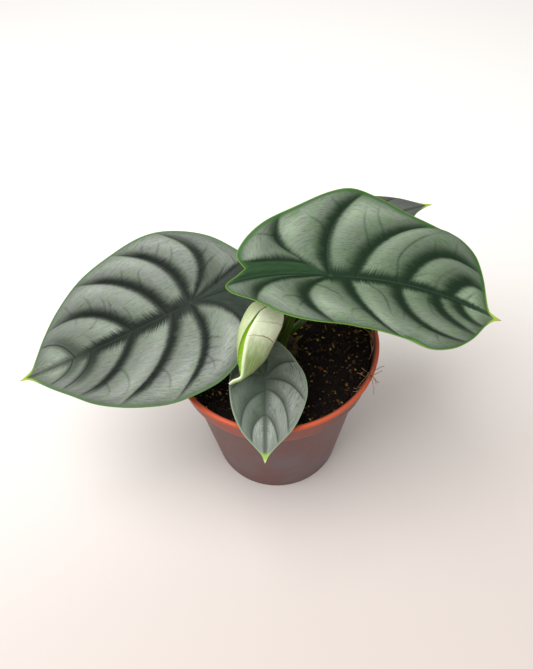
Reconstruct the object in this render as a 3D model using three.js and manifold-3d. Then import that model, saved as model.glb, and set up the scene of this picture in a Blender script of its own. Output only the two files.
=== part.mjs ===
// Silver dragon alocasia: four open leaves and a rolled new one, in a 12 cm nursery pot.
// Millimetres, +Z up. The origin is the middle of the pot's base, on the surface it stands on.
// The plant's two large leaves reach out along -X and +X. The small front leaf hangs over -Y.

import * as THREE from 'three';
import { mergeVertices } from 'three/addons/utils/BufferGeometryUtils.js';
import Module from 'manifold-3d';

const wasm = await Module();
wasm.setup();

// Driving dimensions of the pot
const RIM_RADIUS = 60;
const POT_HEIGHT = 106;
const BASE_RADIUS = 40.6;
const BASE_THICKNESS = 1.4;
const WALL = 1.2;
const COLLAR_HEIGHT = 18;
const COLLAR_STEP = 3.8;
const COLLAR_TAPER = 2.2;
const LIP_WIDTH = 1.6;
const LIP_HEIGHT = 3;
const LIP_ROUNDING = 0.8;
const SHOULDER_RISE = 1.5;
const FOOT_ROUNDING = 1;
const POT_SIDES = 64;
const DRAIN_COUNT = 8;
const DRAIN_RADIUS = 4.5;
const DRAIN_CIRCLE = 27;
const DRAIN_SIDES = 14;

// Driving dimensions of what fills it
const GAP = 0.35;
const SOIL_TOP = 98;
const SOIL_LUMP = 1.3;
const SOIL_SIDES = 48;
const SOIL_RING_STEP = 5;
const CORM_RADIUS = 15;
const CORM_DEPTH = 14;
const CORM_CROWN = 0.8;
const CORM_SIDES = 28;
const SOCKET_DEPTH = 5;
const SOCKET_SIDES = 16;

// Driving dimensions of the plant
const BLADE_THICKNESS = 0.8;
const FOLD_SOFTNESS = 6;
const RIPPLE_REACH = 40;
const MARGIN_BAND = 4;
const STALK_SIDES = 10;
const STALK_STEPS = 13;
const SHEATH_FADE = 2.2;
const UPRIGHT_SHARE = 0.08;

const UP = new THREE.Vector3(0, 0, 1);
const vec = (x, y, z) => new THREE.Vector3(x, y, z);
const radians = THREE.MathUtils.degToRad;

const COLOURS = {
  pot: { color: 0xb4512f, roughness: 0.38, metalness: 0 },
  soil: { color: 0x1c1410, roughness: 0.95, metalness: 0 },
  corm: { color: 0x4a3a22, roughness: 0.85, metalness: 0 },
  stalk: { color: 0x4c6420, roughness: 0.45, metalness: 0 },
  largeBlade: { color: 0x8fa48a, roughness: 0.42, metalness: 0 },
  smallBlade: { color: 0x6f8072, roughness: 0.5, metalness: 0 },
  newBlade: { color: 0xcdd6a6, roughness: 0.4, metalness: 0 },
};

// The whole object
const plant = new THREE.Group();

function addPiece(name, geometry, finish) {
  const piece = new THREE.Mesh(geometry, new THREE.MeshStandardMaterial(finish));
  piece.name = name;
  plant.add(piece);
}

// Turning a mesh into a solid that can be cut, and back
const WELD = 1e-3;

function toSolid(geometry) {
  const bare = new THREE.BufferGeometry();
  bare.setAttribute('position', geometry.getAttribute('position'));
  if (geometry.index) {
    bare.setIndex(geometry.index);
  }
  const merged = mergeVertices(bare, WELD);
  const vertProperties = Float32Array.from(merged.attributes.position.array);
  const triVerts = Uint32Array.from(merged.index.array);
  return new wasm.Manifold(new wasm.Mesh({ numProp: 3, vertProperties, triVerts }));
}

function toGeometry(solid) {
  const mesh = solid.getMesh();
  const geometry = new THREE.BufferGeometry();
  geometry.setAttribute('position', new THREE.BufferAttribute(mesh.vertProperties, 3));
  geometry.setIndex(new THREE.BufferAttribute(mesh.triVerts, 1));
  return geometry;
}

// A closed mesh from points and the corner numbers of its triangles
function closedMesh(points, triangles) {
  const geometry = new THREE.BufferGeometry();
  geometry.setFromPoints(points);
  geometry.setIndex(triangles);
  return geometry;
}

// A lathe about Z from [radius, height] pairs
function lathe(profile, sides) {
  const outline = profile.map(([r, z]) => new THREE.Vector2(r, z));
  const geometry = new THREE.LatheGeometry(outline, sides);
  geometry.rotateX(Math.PI / 2);
  return geometry;
}

function uprightCylinder(x, y, low, high, radius, sides) {
  const geometry = new THREE.CylinderGeometry(radius, radius, high - low, sides);
  geometry.rotateX(Math.PI / 2);
  geometry.translate(x, y, (low + high) / 2);
  return geometry;
}

// A tube or bud through rings of points, each ring with the same number of them
function loft(rings) {
  const sides = rings[0].length;
  const points = rings.flat();
  const triangles = [];
  for (let i = 0; i + 1 < rings.length; i += 1) {
    for (let j = 0; j < sides; j += 1) {
      const a = i * sides + j;
      const b = i * sides + ((j + 1) % sides);
      triangles.push(a, b, b + sides, a, b + sides, a + sides);
    }
  }
  const last = (rings.length - 1) * sides;
  const startCentre = points.push(middle(rings[0])) - 1;
  const endCentre = points.push(middle(rings[rings.length - 1])) - 1;
  for (let j = 0; j < sides; j += 1) {
    const next = (j + 1) % sides;
    triangles.push(startCentre, next, j);
    triangles.push(endCentre, last + j, last + next);
  }
  return closedMesh(points, triangles);
}

function middle(ring) {
  const sum = ring.reduce((total, point) => total.add(point), vec(0, 0, 0));
  return sum.divideScalar(ring.length);
}

// The pot: thin plastic, a stepped collar and a rolled lip, drain holes in its flat base
const BODY_TOP = POT_HEIGHT - COLLAR_HEIGHT - SHOULDER_RISE;
const COLLAR_LOW = POT_HEIGHT - COLLAR_HEIGHT;
const COLLAR_RADIUS = RIM_RADIUS - LIP_WIDTH;
const SHOULDER_RADIUS = COLLAR_RADIUS - COLLAR_TAPER;
const BODY_RADIUS = SHOULDER_RADIUS - COLLAR_STEP;
const COLLAR_TOP = POT_HEIGHT - LIP_HEIGHT;

function potGeometry() {
  const profile = [
    [0, 0],
    [BASE_RADIUS - FOOT_ROUNDING, 0],
    [BASE_RADIUS, FOOT_ROUNDING],
    [BODY_RADIUS, BODY_TOP],
    [SHOULDER_RADIUS, COLLAR_LOW],
    [COLLAR_RADIUS, COLLAR_TOP],
    [RIM_RADIUS - LIP_ROUNDING / 2, COLLAR_TOP + LIP_ROUNDING / 2],
    [RIM_RADIUS, COLLAR_TOP + LIP_ROUNDING * 1.5],
    [RIM_RADIUS, POT_HEIGHT - LIP_ROUNDING],
    [RIM_RADIUS - LIP_ROUNDING, POT_HEIGHT],
    [COLLAR_RADIUS - WALL / 2, POT_HEIGHT],
    [COLLAR_RADIUS - WALL, POT_HEIGHT - LIP_ROUNDING],
    [SHOULDER_RADIUS - WALL, COLLAR_LOW + 1],
    [BODY_RADIUS - WALL, BODY_TOP - 0.5],
    [BASE_RADIUS - WALL, BASE_THICKNESS],
    [0, BASE_THICKNESS],
  ];
  let pot = toSolid(lathe(profile, POT_SIDES));
  for (let i = 0; i < DRAIN_COUNT; i += 1) {
    const angle = (2 * Math.PI * (i + 0.5)) / DRAIN_COUNT;
    const x = DRAIN_CIRCLE * Math.cos(angle);
    const y = DRAIN_CIRCLE * Math.sin(angle);
    pot = pot.subtract(toSolid(uprightCylinder(x, y, -1, BASE_THICKNESS + 1, DRAIN_RADIUS, DRAIN_SIDES)));
  }
  return toGeometry(pot);
}

// The soil: fills the pot, with an uneven top and a plain hole for the corm
function lump(x, y) {
  const broad = 0.6 * Math.sin(0.19 * x + 1.3) * Math.cos(0.17 * y - 0.4);
  const fine = 0.4 * Math.sin(0.53 * x - 0.47 * y + 2) + 0.35 * Math.sin(0.61 * y + 0.33 * x);
  return SOIL_LUMP * (broad + fine);
}

function soilGeometry() {
  const outer = SHOULDER_RADIUS - WALL - GAP;
  const topRadius = outer + (COLLAR_TAPER * (SOIL_TOP - COLLAR_LOW)) / COLLAR_HEIGHT - 0.3;
  const topRings = [topRadius];
  for (let radius = topRadius - SOIL_RING_STEP; radius > CORM_RADIUS + 2; radius -= SOIL_RING_STEP) {
    topRings.push(radius);
  }
  topRings.push(CORM_RADIUS);
  const profile = [
    [0, BASE_THICKNESS + GAP],
    [BASE_RADIUS - WALL - GAP, BASE_THICKNESS + GAP],
    [BODY_RADIUS - WALL - GAP, BODY_TOP],
    [outer - 0.2, COLLAR_LOW + 1.5],
    ...topRings.map((radius) => [radius, SOIL_TOP]),
    [CORM_RADIUS, SOIL_TOP - CORM_DEPTH],
    [0, SOIL_TOP - CORM_DEPTH],
  ];
  const geometry = lathe(profile, SOIL_SIDES);
  const position = geometry.getAttribute('position');
  for (let i = 0; i < position.count; i += 1) {
    if (Math.abs(position.getZ(i) - SOIL_TOP) < 0.01) {
      position.setZ(i, SOIL_TOP + lump(position.getX(i), position.getY(i)));
    }
  }
  return toGeometry(toSolid(geometry));
}

// The leaves. Each has its own frame: u runs from the stalk to the tip, v across the blade.
// midrib: how far it sags to the side and where the tip lies. sinus: where the basal cleft
// runs and ends, and whether the blade rises beside it as one ridge. Each side lists the margin
// from the cleft to the tip, and the main veins as
// [foot on the midrib, then u and v halfway along, then u and v at the margin].
const LARGE_LEFT = {
  name: 'left',
  foot: vec(-43.2, -1.9, 143.9),
  yaw: 192.2,
  pitch: 19,
  roll: -25,
  arch: 0.8,
  baseCurl: -2,
  fold: 0.12,
  droop: 1.5,
  wave: [0.8, 46, 0.4],
  puff: 2.1,
  puffReach: 6,
  midrib: { sag: 1.9, tip: [110, -2.6] },
  sinus: { half: [-17, 1.5], end: [-33, 3], ridge: false },
  steps: { margin: 6.5, ray: 8 },
  finish: COLOURS.largeBlade,
  sides: [
    {
      margin: [
        [-37, -1], [-38, -9], [-33, -17], [-23, -29], [-10, -38], [3, -43], [18, -44.5],
        [34, -43], [55, -37], [73, -28], [86, -18], [95, -9.5], [100.3, -5], [105.6, -3.5],
      ],
      veins: [
        [0, -18, -4.5, -37.5, -11], [0, -13, -21, 4, -43], [1, 7, -25, 32, -43],
        [14, 30, -24, 58, -36], [35, 56, -18, 84, -20], [72, 79, -10.5, 91, -13.5],
      ],
    },
    {
      margin: [
        [-37, 8], [-36, 17], [-31, 25], [-23, 33], [-12, 40], [-1, 45], [12, 46.5],
        [28, 45.5], [44, 41], [57, 35.5], [70, 28], [82, 18], [91, 10.5], [98, 4],
        [102, 0.4], [106.2, -1.7],
      ],
      veins: [
        [0, -17.5, 10, -24, 32], [1, 2, 27, 28, 45.5], [11, 26, 23, 57, 35.5],
        [36, 55, 17.5, 80, 20], [62, 70, 9.5, 88, 13], [74, 80, 5.5, 94, 8],
      ],
    },
  ],
};

const LARGE_RIGHT = {
  name: 'right',
  foot: vec(29.5, -5.4, 163.9),
  yaw: -7.8,
  pitch: 13,
  roll: 2,
  arch: 0.8,
  baseCurl: 0,
  fold: 0.42,
  droop: 1,
  wave: [0.8, 52, 2],
  puff: 2.3,
  puffReach: 6,
  midrib: { sag: 5.2, tip: [94, -0.2] },
  sinus: { half: [-22, -2], end: [-43, -8.5], ridge: true },
  steps: { margin: 6.5, ray: 8 },
  finish: COLOURS.largeBlade,
  sides: [
    {
      margin: [
        [-46, -15], [-51, -27], [-48, -31], [-36, -33], [-24, -38], [-9, -40], [9, -37],
        [24, -36], [35, -38], [46, -42], [58, -37], [72, -24], [83, -9], [87.2, -4.2], [90, -1.9],
      ],
      veins: [
        [0, -29, -8.6, -51, -27], [0, -28.5, -12.6, -36, -33], [0, -12.5, -20, 1, -38.5],
        [9, 17, -20, 34, -38], [36, 45, -22, 69, -27], [57, 62, -10, 76, -19],
        [69, 74, -6, 82, -9.5],
      ],
    },
    {
      margin: [
        [-48, 0], [-46, 9], [-38, 20.5], [-24, 31.7], [-7, 43], [6, 48], [22, 47], [39, 41.3],
        [53, 38.5], [67, 36.8], [76.5, 30.7], [82, 20.5], [85, 10], [86.4, 5], [88, 2],
        [90.3, 0.5],
      ],
      veins: [
        [0, -18.5, 3.9, -46.3, -4.3], [0, -26, 10, -30, 27.5], [0, -3, 25, 12, 47.5],
        [13, 26, 26, 53, 38.5], [39, 56, 24, 82, 20.5], [64, 73, 14, 84.5, 12],
      ],
    },
  ],
};

const SMALL_FRONT = {
  name: 'front',
  foot: vec(-5.4, -33.9, 118.2),
  yaw: -94,
  pitch: 14,
  roll: 0,
  arch: 2,
  baseCurl: -2,
  fold: 0.15,
  droop: 2,
  wave: [0.3, 30, 1],
  puff: 0.9,
  puffReach: 4,
  midrib: { sag: 0, tip: [45, 0.5] },
  sinus: { half: [-9, 0], end: [-19, 0], ridge: false },
  steps: { margin: 5, ray: 6 },
  finish: COLOURS.smallBlade,
  sides: [
    {
      margin: [
        [-21, -5], [-16, -11.5], [-8, -17], [1, -19], [10, -18.7], [20, -16.5], [30, -11.5],
        [37, -5], [41, -1.3], [43.2, -0.3],
      ],
      veins: [
        [0, -8, -6.5, -15, -12.5], [0, 0, -10, 9, -18.8], [7, 15, -9.5, 29, -12], [20, 26, -5.5, 36, -6],
      ],
    },
    {
      margin: [
        [-21, 5], [-16, 11], [-9, 16], [-1, 20.5], [8, 22], [17, 20], [28, 14.5], [37, 6],
        [41, 2.5], [43.2, 1.3],
      ],
      veins: [
        [0, -7.5, 7, -8.5, 16.5], [1, 3, 12, 14, 21], [6, 14, 9.5, 31, 12], [20, 26, 5, 36, 7],
      ],
    },
  ],
};

const SMALL_BACK = {
  name: 'back',
  foot: vec(38, 45, 144),
  yaw: 29,
  pitch: 5,
  roll: 0,
  arch: 1,
  baseCurl: -1,
  fold: 0.2,
  droop: 1.5,
  wave: [0.4, 40, 0],
  puff: 1.1,
  puffReach: 4.5,
  midrib: { sag: 0.5, tip: [70, -3] },
  sinus: { half: [-11, 0], end: [-22, 0], ridge: false },
  steps: { margin: 6.5, ray: 6 },
  finish: COLOURS.smallBlade,
  sides: [
    {
      margin: [
        [-26, -7], [-20, -16], [-8, -22], [8, -24], [25, -20], [40, -14], [50, -9.3],
        [55, -6.6], [62, -4.4],
      ],
      veins: [
        [0, -12, -8, -18, -17.5], [1, 1, -13, 12, -23.5], [10, 20, -12, 36, -16], [28, 39, -7, 50, -9],
      ],
    },
    {
      margin: [
        [-26, 7], [-20, 16], [-8, 23], [8, 26], [25, 21], [40, 15], [53, 8.5], [60, 3.2],
        [65, -0.6],
      ],
      veins: [
        [0, -12, 8, -18, 18], [1, 1, 14, 12, 25.5], [10, 20, 13, 36, 17], [28, 39, 7.5, 52, 9],
      ],
    },
  ],
};

const LEAVES = [LARGE_LEFT, LARGE_RIGHT, SMALL_FRONT, SMALL_BACK];

// The leaf's own axes: along the midrib, across it, and out of its upper face
function leafAxes(leaf) {
  const yaw = radians(leaf.yaw);
  const pitch = radians(leaf.pitch);
  const along = vec(Math.cos(pitch) * Math.cos(yaw), Math.cos(pitch) * Math.sin(yaw), -Math.sin(pitch));
  const level = vec(-Math.sin(yaw), Math.cos(yaw), 0);
  const across = level.clone().applyAxisAngle(along, radians(leaf.roll));
  const outward = along.clone().cross(across);
  return { along, across, outward };
}

// How far the blade's middle surface stands from its own flat plane
function lift(leaf, u, v) {
  const bend = u > 0 ? -leaf.arch : leaf.baseCurl;
  const valley = leaf.fold * (Math.hypot(v, FOLD_SOFTNESS) - FOLD_SOFTNESS);
  const [height, period, phase] = leaf.wave;
  const ripple = height * (v / RIPPLE_REACH) ** 2 * Math.sin((2 * Math.PI * u) / period + phase);
  return (bend * u * u - leaf.droop * v * v) / 1000 + valley + ripple;
}

function midribAt(leaf, u) {
  const share = u / leaf.midrib.tip[0];
  return 4 * leaf.midrib.sag * share * (1 - share) + leaf.midrib.tip[1] * share;
}

const flat = (u, v) => new THREE.Vector2(u, v);

// A vein or any line beside it: from the midrib to the margin, halfway along it lies off the
// straight line by its bulge
function bentLine({ foot, bulge, end }, t) {
  const straight = foot.clone().lerp(end, t);
  return straight.addScaledVector(bulge, 4 * t * (1 - t));
}

const MARGIN_SAMPLES = 300;

function nearestOn(samples, target) {
  let best = 0;
  samples.forEach((point, i) => {
    if (point.distanceTo(target) < samples[best].distanceTo(target)) {
      best = i;
    }
  });
  return best / MARGIN_SAMPLES;
}

// The lines of one half of a blade, from the cleft round to the tip. Each holds its foot,
// halfway point and end, and where it lies between the two veins beside it.
function sideLines(leaf, side) {
  const tip = flat(...leaf.midrib.tip);
  const cleft = flat(...leaf.sinus.end);
  const through = [cleft, ...side.margin.map(([u, v]) => flat(u, v)), tip];
  const curve = new THREE.CatmullRomCurve3(through.map((p) => vec(p.x, p.y, 0)), false, 'centripetal');
  const samples = curve.getSpacedPoints(MARGIN_SAMPLES).map((p) => flat(p.x, p.y));
  const marginAt = (share) => {
    const place = share * MARGIN_SAMPLES;
    const i = Math.min(Math.floor(place), MARGIN_SAMPLES - 1);
    return samples[i].clone().lerp(samples[i + 1], place - i);
  };
  const mark = (footU, half, share) => {
    const foot = flat(footU, midribAt(leaf, footU));
    const end = marginAt(share);
    const bulge = half.clone().sub(foot.clone().lerp(end, 0.5));
    return { footU, foot, bulge, end, share };
  };
  const marks = [mark(0, flat(...leaf.sinus.half), 0)];
  for (const [footU, halfU, halfV, endU, endV] of side.veins) {
    marks.push(mark(footU, flat(halfU, halfV), nearestOn(samples, flat(endU, endV))));
  }
  marks.push(mark(tip.x, tip, 1));
  const between = (k, q) => {
    const [a, b] = [marks[k], marks[k + 1]];
    const footU = THREE.MathUtils.lerp(a.footU, b.footU, q);
    return {
      footU,
      foot: flat(footU, midribAt(leaf, footU)),
      bulge: a.bulge.clone().lerp(b.bulge, q),
      end: marginAt(THREE.MathUtils.lerp(a.share, b.share, q)),
      offVein: k === 0 && leaf.sinus.ridge ? 1 - q : Math.min(q, 1 - q),
      veins: [a, b],
    };
  };
  const lines = [];
  for (let k = 0; k + 1 < marks.length; k += 1) {
    const padMargin = (marks[k + 1].share - marks[k].share) * curve.getLength();
    const count = Math.max(2, Math.round(padMargin / leaf.steps.margin));
    for (let i = 0; i < count; i += 1) {
      lines.push(between(k, i / count));
    }
  }
  lines.push(between(marks.length - 2, 1));
  return lines;
}

// The pads between the veins puff up, and stay flat at the veins, the midrib and the margin
function relief(leaf, line, point, t) {
  const [a, b] = line.veins.map((vein) => bentLine(vein, t));
  const rise = (distance, reach) => 1 - Math.exp(-((distance / reach) ** 2));
  const fromVein = line.offVein * a.distanceTo(b);
  const fromMidrib = point.x > 0 ? Math.abs(point.y - midribAt(leaf, point.x)) : leaf.puffReach * 2;
  const fromMargin = (1 - t) * line.foot.distanceTo(line.end);
  return leaf.puff * rise(fromVein, leaf.puffReach)
    * rise(fromMidrib, leaf.puffReach) * rise(fromMargin, MARGIN_BAND);
}

// Joins two chains of points into a strip of triangles, in step with their places
function zip(left, right, triangles) {
  let i = 0;
  let j = 0;
  while (i + 1 < left.length || j + 1 < right.length) {
    const nextLeft = i + 1 < left.length ? left[i + 1].place : Infinity;
    const nextRight = j + 1 < right.length ? right[j + 1].place : Infinity;
    if (nextLeft <= nextRight) {
      triangles.push([left[i].id, left[i + 1].id, right[j].id]);
      i += 1;
    } else {
      triangles.push([left[i].id, right[j + 1].id, right[j].id]);
      j += 1;
    }
  }
}

// The upper face of a blade: points in space and triangles that face out of it
function bladeSheet(leaf) {
  const axes = leafAxes(leaf);
  const points = [];
  const triangles = [];
  const known = new Map();
  const pointAt = (uv, raise) => {
    const key = `${uv.x.toFixed(2)},${uv.y.toFixed(2)}`;
    if (!known.has(key)) {
      const height = lift(leaf, uv.x, uv.y) + raise;
      const place = leaf.foot.clone().addScaledVector(axes.along, uv.x);
      place.addScaledVector(axes.across, uv.y).addScaledVector(axes.outward, height);
      known.set(key, points.push(place) - 1);
    }
    return known.get(key);
  };
  const sides = leaf.sides.map((side) => sideLines(leaf, side));
  const feet = [...new Set(sides.flat().map((line) => line.footU))].sort((a, b) => a - b);
  const midrib = feet.map((u) => ({ place: u, id: pointAt(flat(u, midribAt(leaf, u)), 0) }));
  for (const lines of sides) {
    const rows = lines.map((line, row) => {
      const ids = [];
      for (let j = 1; j <= leaf.steps.ray; j += 1) {
        const t = j / leaf.steps.ray;
        const uv = bentLine(line, t);
        ids.push(pointAt(uv, relief(leaf, line, uv, t)));
      }
      return { place: line.footU + row * 1e-6, ids };
    });
    const half = [];
    zip(midrib, rows.map((row) => ({ place: row.place, id: row.ids[0] })), half);
    for (let i = 0; i + 1 < rows.length; i += 1) {
      for (let j = 0; j + 1 < leaf.steps.ray; j += 1) {
        const [a, b] = [rows[i].ids[j], rows[i + 1].ids[j]];
        const [c, d] = [rows[i].ids[j + 1], rows[i + 1].ids[j + 1]];
        half.push([a, b, d], [a, d, c]);
      }
    }
    const onPositiveSide = lines[Math.floor(lines.length / 2)].end.y > 0;
    triangles.push(...half.map(([a, b, c]) => (onPositiveSide ? [a, b, c] : [a, c, b])));
  }
  const sound = triangles.filter(([a, b, c]) => a !== b && b !== c && c !== a);
  return { points, triangles: sound, outward: axes.outward };
}

// Gives a sheet its thickness: the same triangles below, and a wall round its open edge
function thicken(sheet, thickness) {
  const count = sheet.points.length;
  const shift = sheet.outward.clone().multiplyScalar(-thickness);
  const points = [...sheet.points, ...sheet.points.map((point) => point.clone().add(shift))];
  const triangles = [];
  const edges = new Map();
  for (const [a, b, c] of sheet.triangles) {
    triangles.push(a, b, c, count + a, count + c, count + b);
    for (const [from, to] of [[a, b], [b, c], [c, a]]) {
      if (!edges.delete(`${to},${from}`)) {
        edges.set(`${from},${to}`, [from, to]);
      }
    }
  }
  for (const [from, to] of edges.values()) {
    triangles.push(from, count + from, count + to, from, count + to, to);
  }
  return closedMesh(points, triangles);
}

// The stalks. Each stands in its own socket in the corm and ends just under its blade.
// rise: the places it passes through on the way. sheath: how much its base widens.
const STALKS = {
  right: {
    base: [5, 0.8],
    radius: [3.4, 2.5],
    sheath: 0.12,
    rise: [[5.6, 1, 105], [7.8, 1.6, 113], [10.9, 1.2, 126], [18.5, -2, 146]],
  },
  left: {
    base: [-8, -1],
    radius: [3.2, 2.4],
    sheath: 0.12,
    rise: [[-8.6, -1, 104], [-11.5, -0.4, 114], [-19, 1, 126], [-31, 0.5, 136]],
  },
  new: {
    base: [-1.6, -0.6],
    radius: [2.3, 1.9],
    sheath: 0,
    rise: [[-1.5, -0.9, 105], [-0.8, -2.2, 121], [1, -4.4, 140], [2.2, -6.6, 150]],
  },
  front: {
    base: [0.6, -7],
    radius: [2.3, 1.7],
    sheath: 0.1,
    rise: [[0.4, -8, 102.5], [-1, -14, 106], [-3.6, -25, 110]],
  },
  back: {
    base: [4.4, 7.2],
    radius: [2.1, 1.5],
    sheath: 0.1,
    rise: [[6.2, 6.9, 102], [12.4, 6, 108], [19.5, 8.5, 115], [29, 22, 128]],
  },
};

const SOCKET_FLOOR = SOIL_TOP - SOCKET_DEPTH;
const GROOVE_DEPTH = 0.2;
const GROOVE_SPREAD = 0.55;

// One ring of a stalk: nearly round, with a shallow channel down its inner side
function stalkRing(centre, tangent, inner, radius, sheath) {
  const side = tangent.clone().cross(inner).normalize();
  const front = side.clone().cross(tangent).normalize();
  const ring = [];
  for (let i = 0; i < STALK_SIDES; i += 1) {
    const angle = (2 * Math.PI * i) / STALK_SIDES;
    const fromGroove = Math.atan2(Math.sin(angle), Math.cos(angle)) / GROOVE_SPREAD;
    const channel = GROOVE_DEPTH * Math.exp(-(fromGroove ** 2));
    const reach = radius * (1 - channel) * (1 + sheath * Math.abs(Math.sin(angle)));
    const point = centre.clone().addScaledVector(front, reach * Math.cos(angle));
    ring.push(point.addScaledVector(side, reach * Math.sin(angle)));
  }
  return ring;
}

function stalkGeometry(stalk, end, inner, seat) {
  const [x, y] = stalk.base;
  const start = [vec(x, y, SOCKET_FLOOR + GAP), vec(x, y, SOIL_TOP + 1)];
  const rise = stalk.rise.map((place) => vec(...place));
  const curve = new THREE.CatmullRomCurve3([...start, ...rise, end], false, 'centripetal');
  const rings = [];
  for (let i = 0; i <= STALK_STEPS; i += 1) {
    const share = i / STALK_STEPS;
    const tangent = share < UPRIGHT_SHARE ? UP.clone() : curve.getTangentAt(share);
    const radius = THREE.MathUtils.lerp(stalk.radius[0], stalk.radius[1], share);
    const widen = stalk.sheath * Math.max(0, 1 - share * SHEATH_FADE);
    rings.push(stalkRing(curve.getPointAt(share), tangent, inner, radius, widen));
  }
  const aim = curve.getTangentAt(1);
  for (const point of rings[STALK_STEPS]) {
    point.addScaledVector(aim, end.clone().sub(point).dot(seat) / aim.dot(seat));
  }
  return loft(rings);
}

// The corm: fills its hole in the soil, with a plain socket for each stalk
function cormGeometry() {
  const radius = CORM_RADIUS - GAP;
  const low = SOIL_TOP - CORM_DEPTH + GAP;
  const profile = [
    [0, low],
    [radius - 2, low],
    [radius, low + 2],
    [radius, SOIL_TOP - 2],
    [radius - 1.2, SOIL_TOP - 0.6],
    [radius - 5, SOIL_TOP + CORM_CROWN / 4],
    [0, SOIL_TOP + CORM_CROWN],
  ];
  let corm = toSolid(lathe(profile, CORM_SIDES));
  for (const stalk of Object.values(STALKS)) {
    const [x, y] = stalk.base;
    const socket = stalk.radius[0] * (1 + stalk.sheath) + GAP;
    corm = corm.subtract(toSolid(uprightCylinder(x, y, SOCKET_FLOOR, SOIL_TOP + 5, socket, SOCKET_SIDES)));
  }
  return toGeometry(corm);
}

// The new leaf, still rolled: it hangs from the top of its stalk to a hooked tip.
// Each place is [x, y, z, radius across, how deep the slit is, the angle where the seam lies].
const BUD = [
  [2.4, -9.4, 156.5, 2.2, 0, -16],
  [-1.8, -16.1, 158.1, 1.8, 0.02, -6],
  [-1.8, -20.9, 158.8, 6.9, 0.08, -1],
  [-4.4, -25.3, 157.7, 9.6, 0.12, 20],
  [-7.6, -30.1, 154.4, 9.7, 0.18, 28],
  [-9.8, -34.4, 151, 9.1, 0.25, 36],
  [-11.6, -39, 147.7, 7.9, 0.31, 42],
  [-13.4, -42.5, 144.9, 6, 0.33, 47],
  [-15, -45.5, 142.6, 3.8, 0.3, 50],
  [-17.3, -48.8, 140.7, 1.2, 0.1, 51],
  [-21.2, -50.1, 139.8, 1.1, 0, 51],
  [-23.3, -50.9, 139, 0.6, 0, 51],
];
const BUD_SIDES = 20;
const BUD_RINGS_PER_PLACE = 2;
const BUD_FLATNESS = 0.86;
const BUD_LAP = 0.09;
const BUD_LAP_SPREAD = 0.5;
const BUD_SLIT_SPREAD = 0.3;
const VIEW_OF_SEAM = vec(0, -0.6, 0.8);
const BUD_CURVE = new THREE.CatmullRomCurve3(BUD.map(([x, y, z]) => vec(x, y, z)), false, 'centripetal');

// At the seam the outer edge stands a little proud and the covered edge lies a little deeper
function budRing(centre, tangent, [radius, slit, seam]) {
  const side = tangent.clone().cross(VIEW_OF_SEAM).normalize();
  const front = side.clone().cross(tangent).normalize();
  const ring = [];
  for (let i = 0; i < BUD_SIDES; i += 1) {
    const turn = (2 * Math.PI * i) / BUD_SIDES;
    const back = 2 * Math.PI - turn;
    const lap = Math.exp(-back / BUD_LAP_SPREAD) - Math.exp(-turn / BUD_LAP_SPREAD);
    const groove = slit * Math.exp(-((Math.min(turn, back) / BUD_SLIT_SPREAD) ** 2));
    const reach = radius * (1 + BUD_LAP * lap - groove);
    const angle = radians(seam) + turn;
    const point = centre.clone().addScaledVector(side, reach * Math.sin(angle));
    ring.push(point.addScaledVector(front, BUD_FLATNESS * reach * Math.cos(angle)));
  }
  return ring;
}

function budGeometry() {
  const steps = (BUD.length - 1) * BUD_RINGS_PER_PLACE;
  const rings = [];
  for (let i = 0; i <= steps; i += 1) {
    const k = Math.min(Math.floor(i / BUD_RINGS_PER_PLACE), BUD.length - 2);
    const q = i / BUD_RINGS_PER_PLACE - k;
    const sizes = [3, 4, 5].map((column) => THREE.MathUtils.lerp(BUD[k][column], BUD[k + 1][column], q));
    const share = i / steps;
    rings.push(budRing(BUD_CURVE.getPoint(share), BUD_CURVE.getTangent(share), sizes));
  }
  return loft(rings);
}

// A dry scale leaf left at the crown's right side: a small outward-leaning point
const SCALE_PLACE = vec(11.2, 0.4, SOIL_TOP + 0.6);
const SCALE_HEIGHT = 9;
const SCALE_WIDTH = 5;
const SCALE_THICKNESS = 0.9;
const SCALE_LEAN = 0.55;
const SCALE_POINT = 0.35;
const SCALE_TAPER = 0.4;
const SCALE_STEPS = 6;

function scaleGeometry() {
  const rings = [];
  for (let i = 0; i <= SCALE_STEPS; i += 1) {
    const share = i / SCALE_STEPS;
    const half = (SCALE_WIDTH / 2) * (1 - share ** 2) + SCALE_POINT;
    const centre = SCALE_PLACE.clone().add(vec(SCALE_LEAN * SCALE_HEIGHT * share * share, 0, SCALE_HEIGHT * share));
    const thick = SCALE_THICKNESS * (1 - SCALE_TAPER * share);
    rings.push([
      centre.clone().add(vec(thick, 0, 0)),
      centre.clone().add(vec(thick * 0.6, half * 0.7, 0)),
      centre.clone().add(vec(0, half, 0)),
      centre.clone().add(vec(-thick * 0.4, 0, 0)),
      centre.clone().add(vec(0, -half, 0)),
      centre.clone().add(vec(thick * 0.6, -half * 0.7, 0)),
    ]);
  }
  return loft(rings);
}

addPiece('pot', potGeometry(), COLOURS.pot);
addPiece('soil', soilGeometry(), COLOURS.soil);
addPiece('corm', cormGeometry(), COLOURS.corm);
for (const leaf of LEAVES) {
  const { along, outward } = leafAxes(leaf);
  addPiece(`blade_${leaf.name}`, thicken(bladeSheet(leaf), BLADE_THICKNESS), leaf.finish);
  const end = leaf.foot.clone().addScaledVector(outward, -BLADE_THICKNESS - GAP);
  addPiece(`stalk_${leaf.name}`, stalkGeometry(STALKS[leaf.name], end, along, outward), COLOURS.stalk);
}
const budAim = BUD_CURVE.getTangent(0);
const budSeat = BUD_CURVE.getPoint(0).addScaledVector(budAim, -GAP);
const budInner = vec(-0.2, -1, 0);
addPiece('stalk_new', stalkGeometry(STALKS.new, budSeat, budInner, budAim), COLOURS.stalk);
addPiece('blade_new', budGeometry(), COLOURS.newBlade);
addPiece('scale_leaf', scaleGeometry(), COLOURS.stalk);

export default plant;
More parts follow.
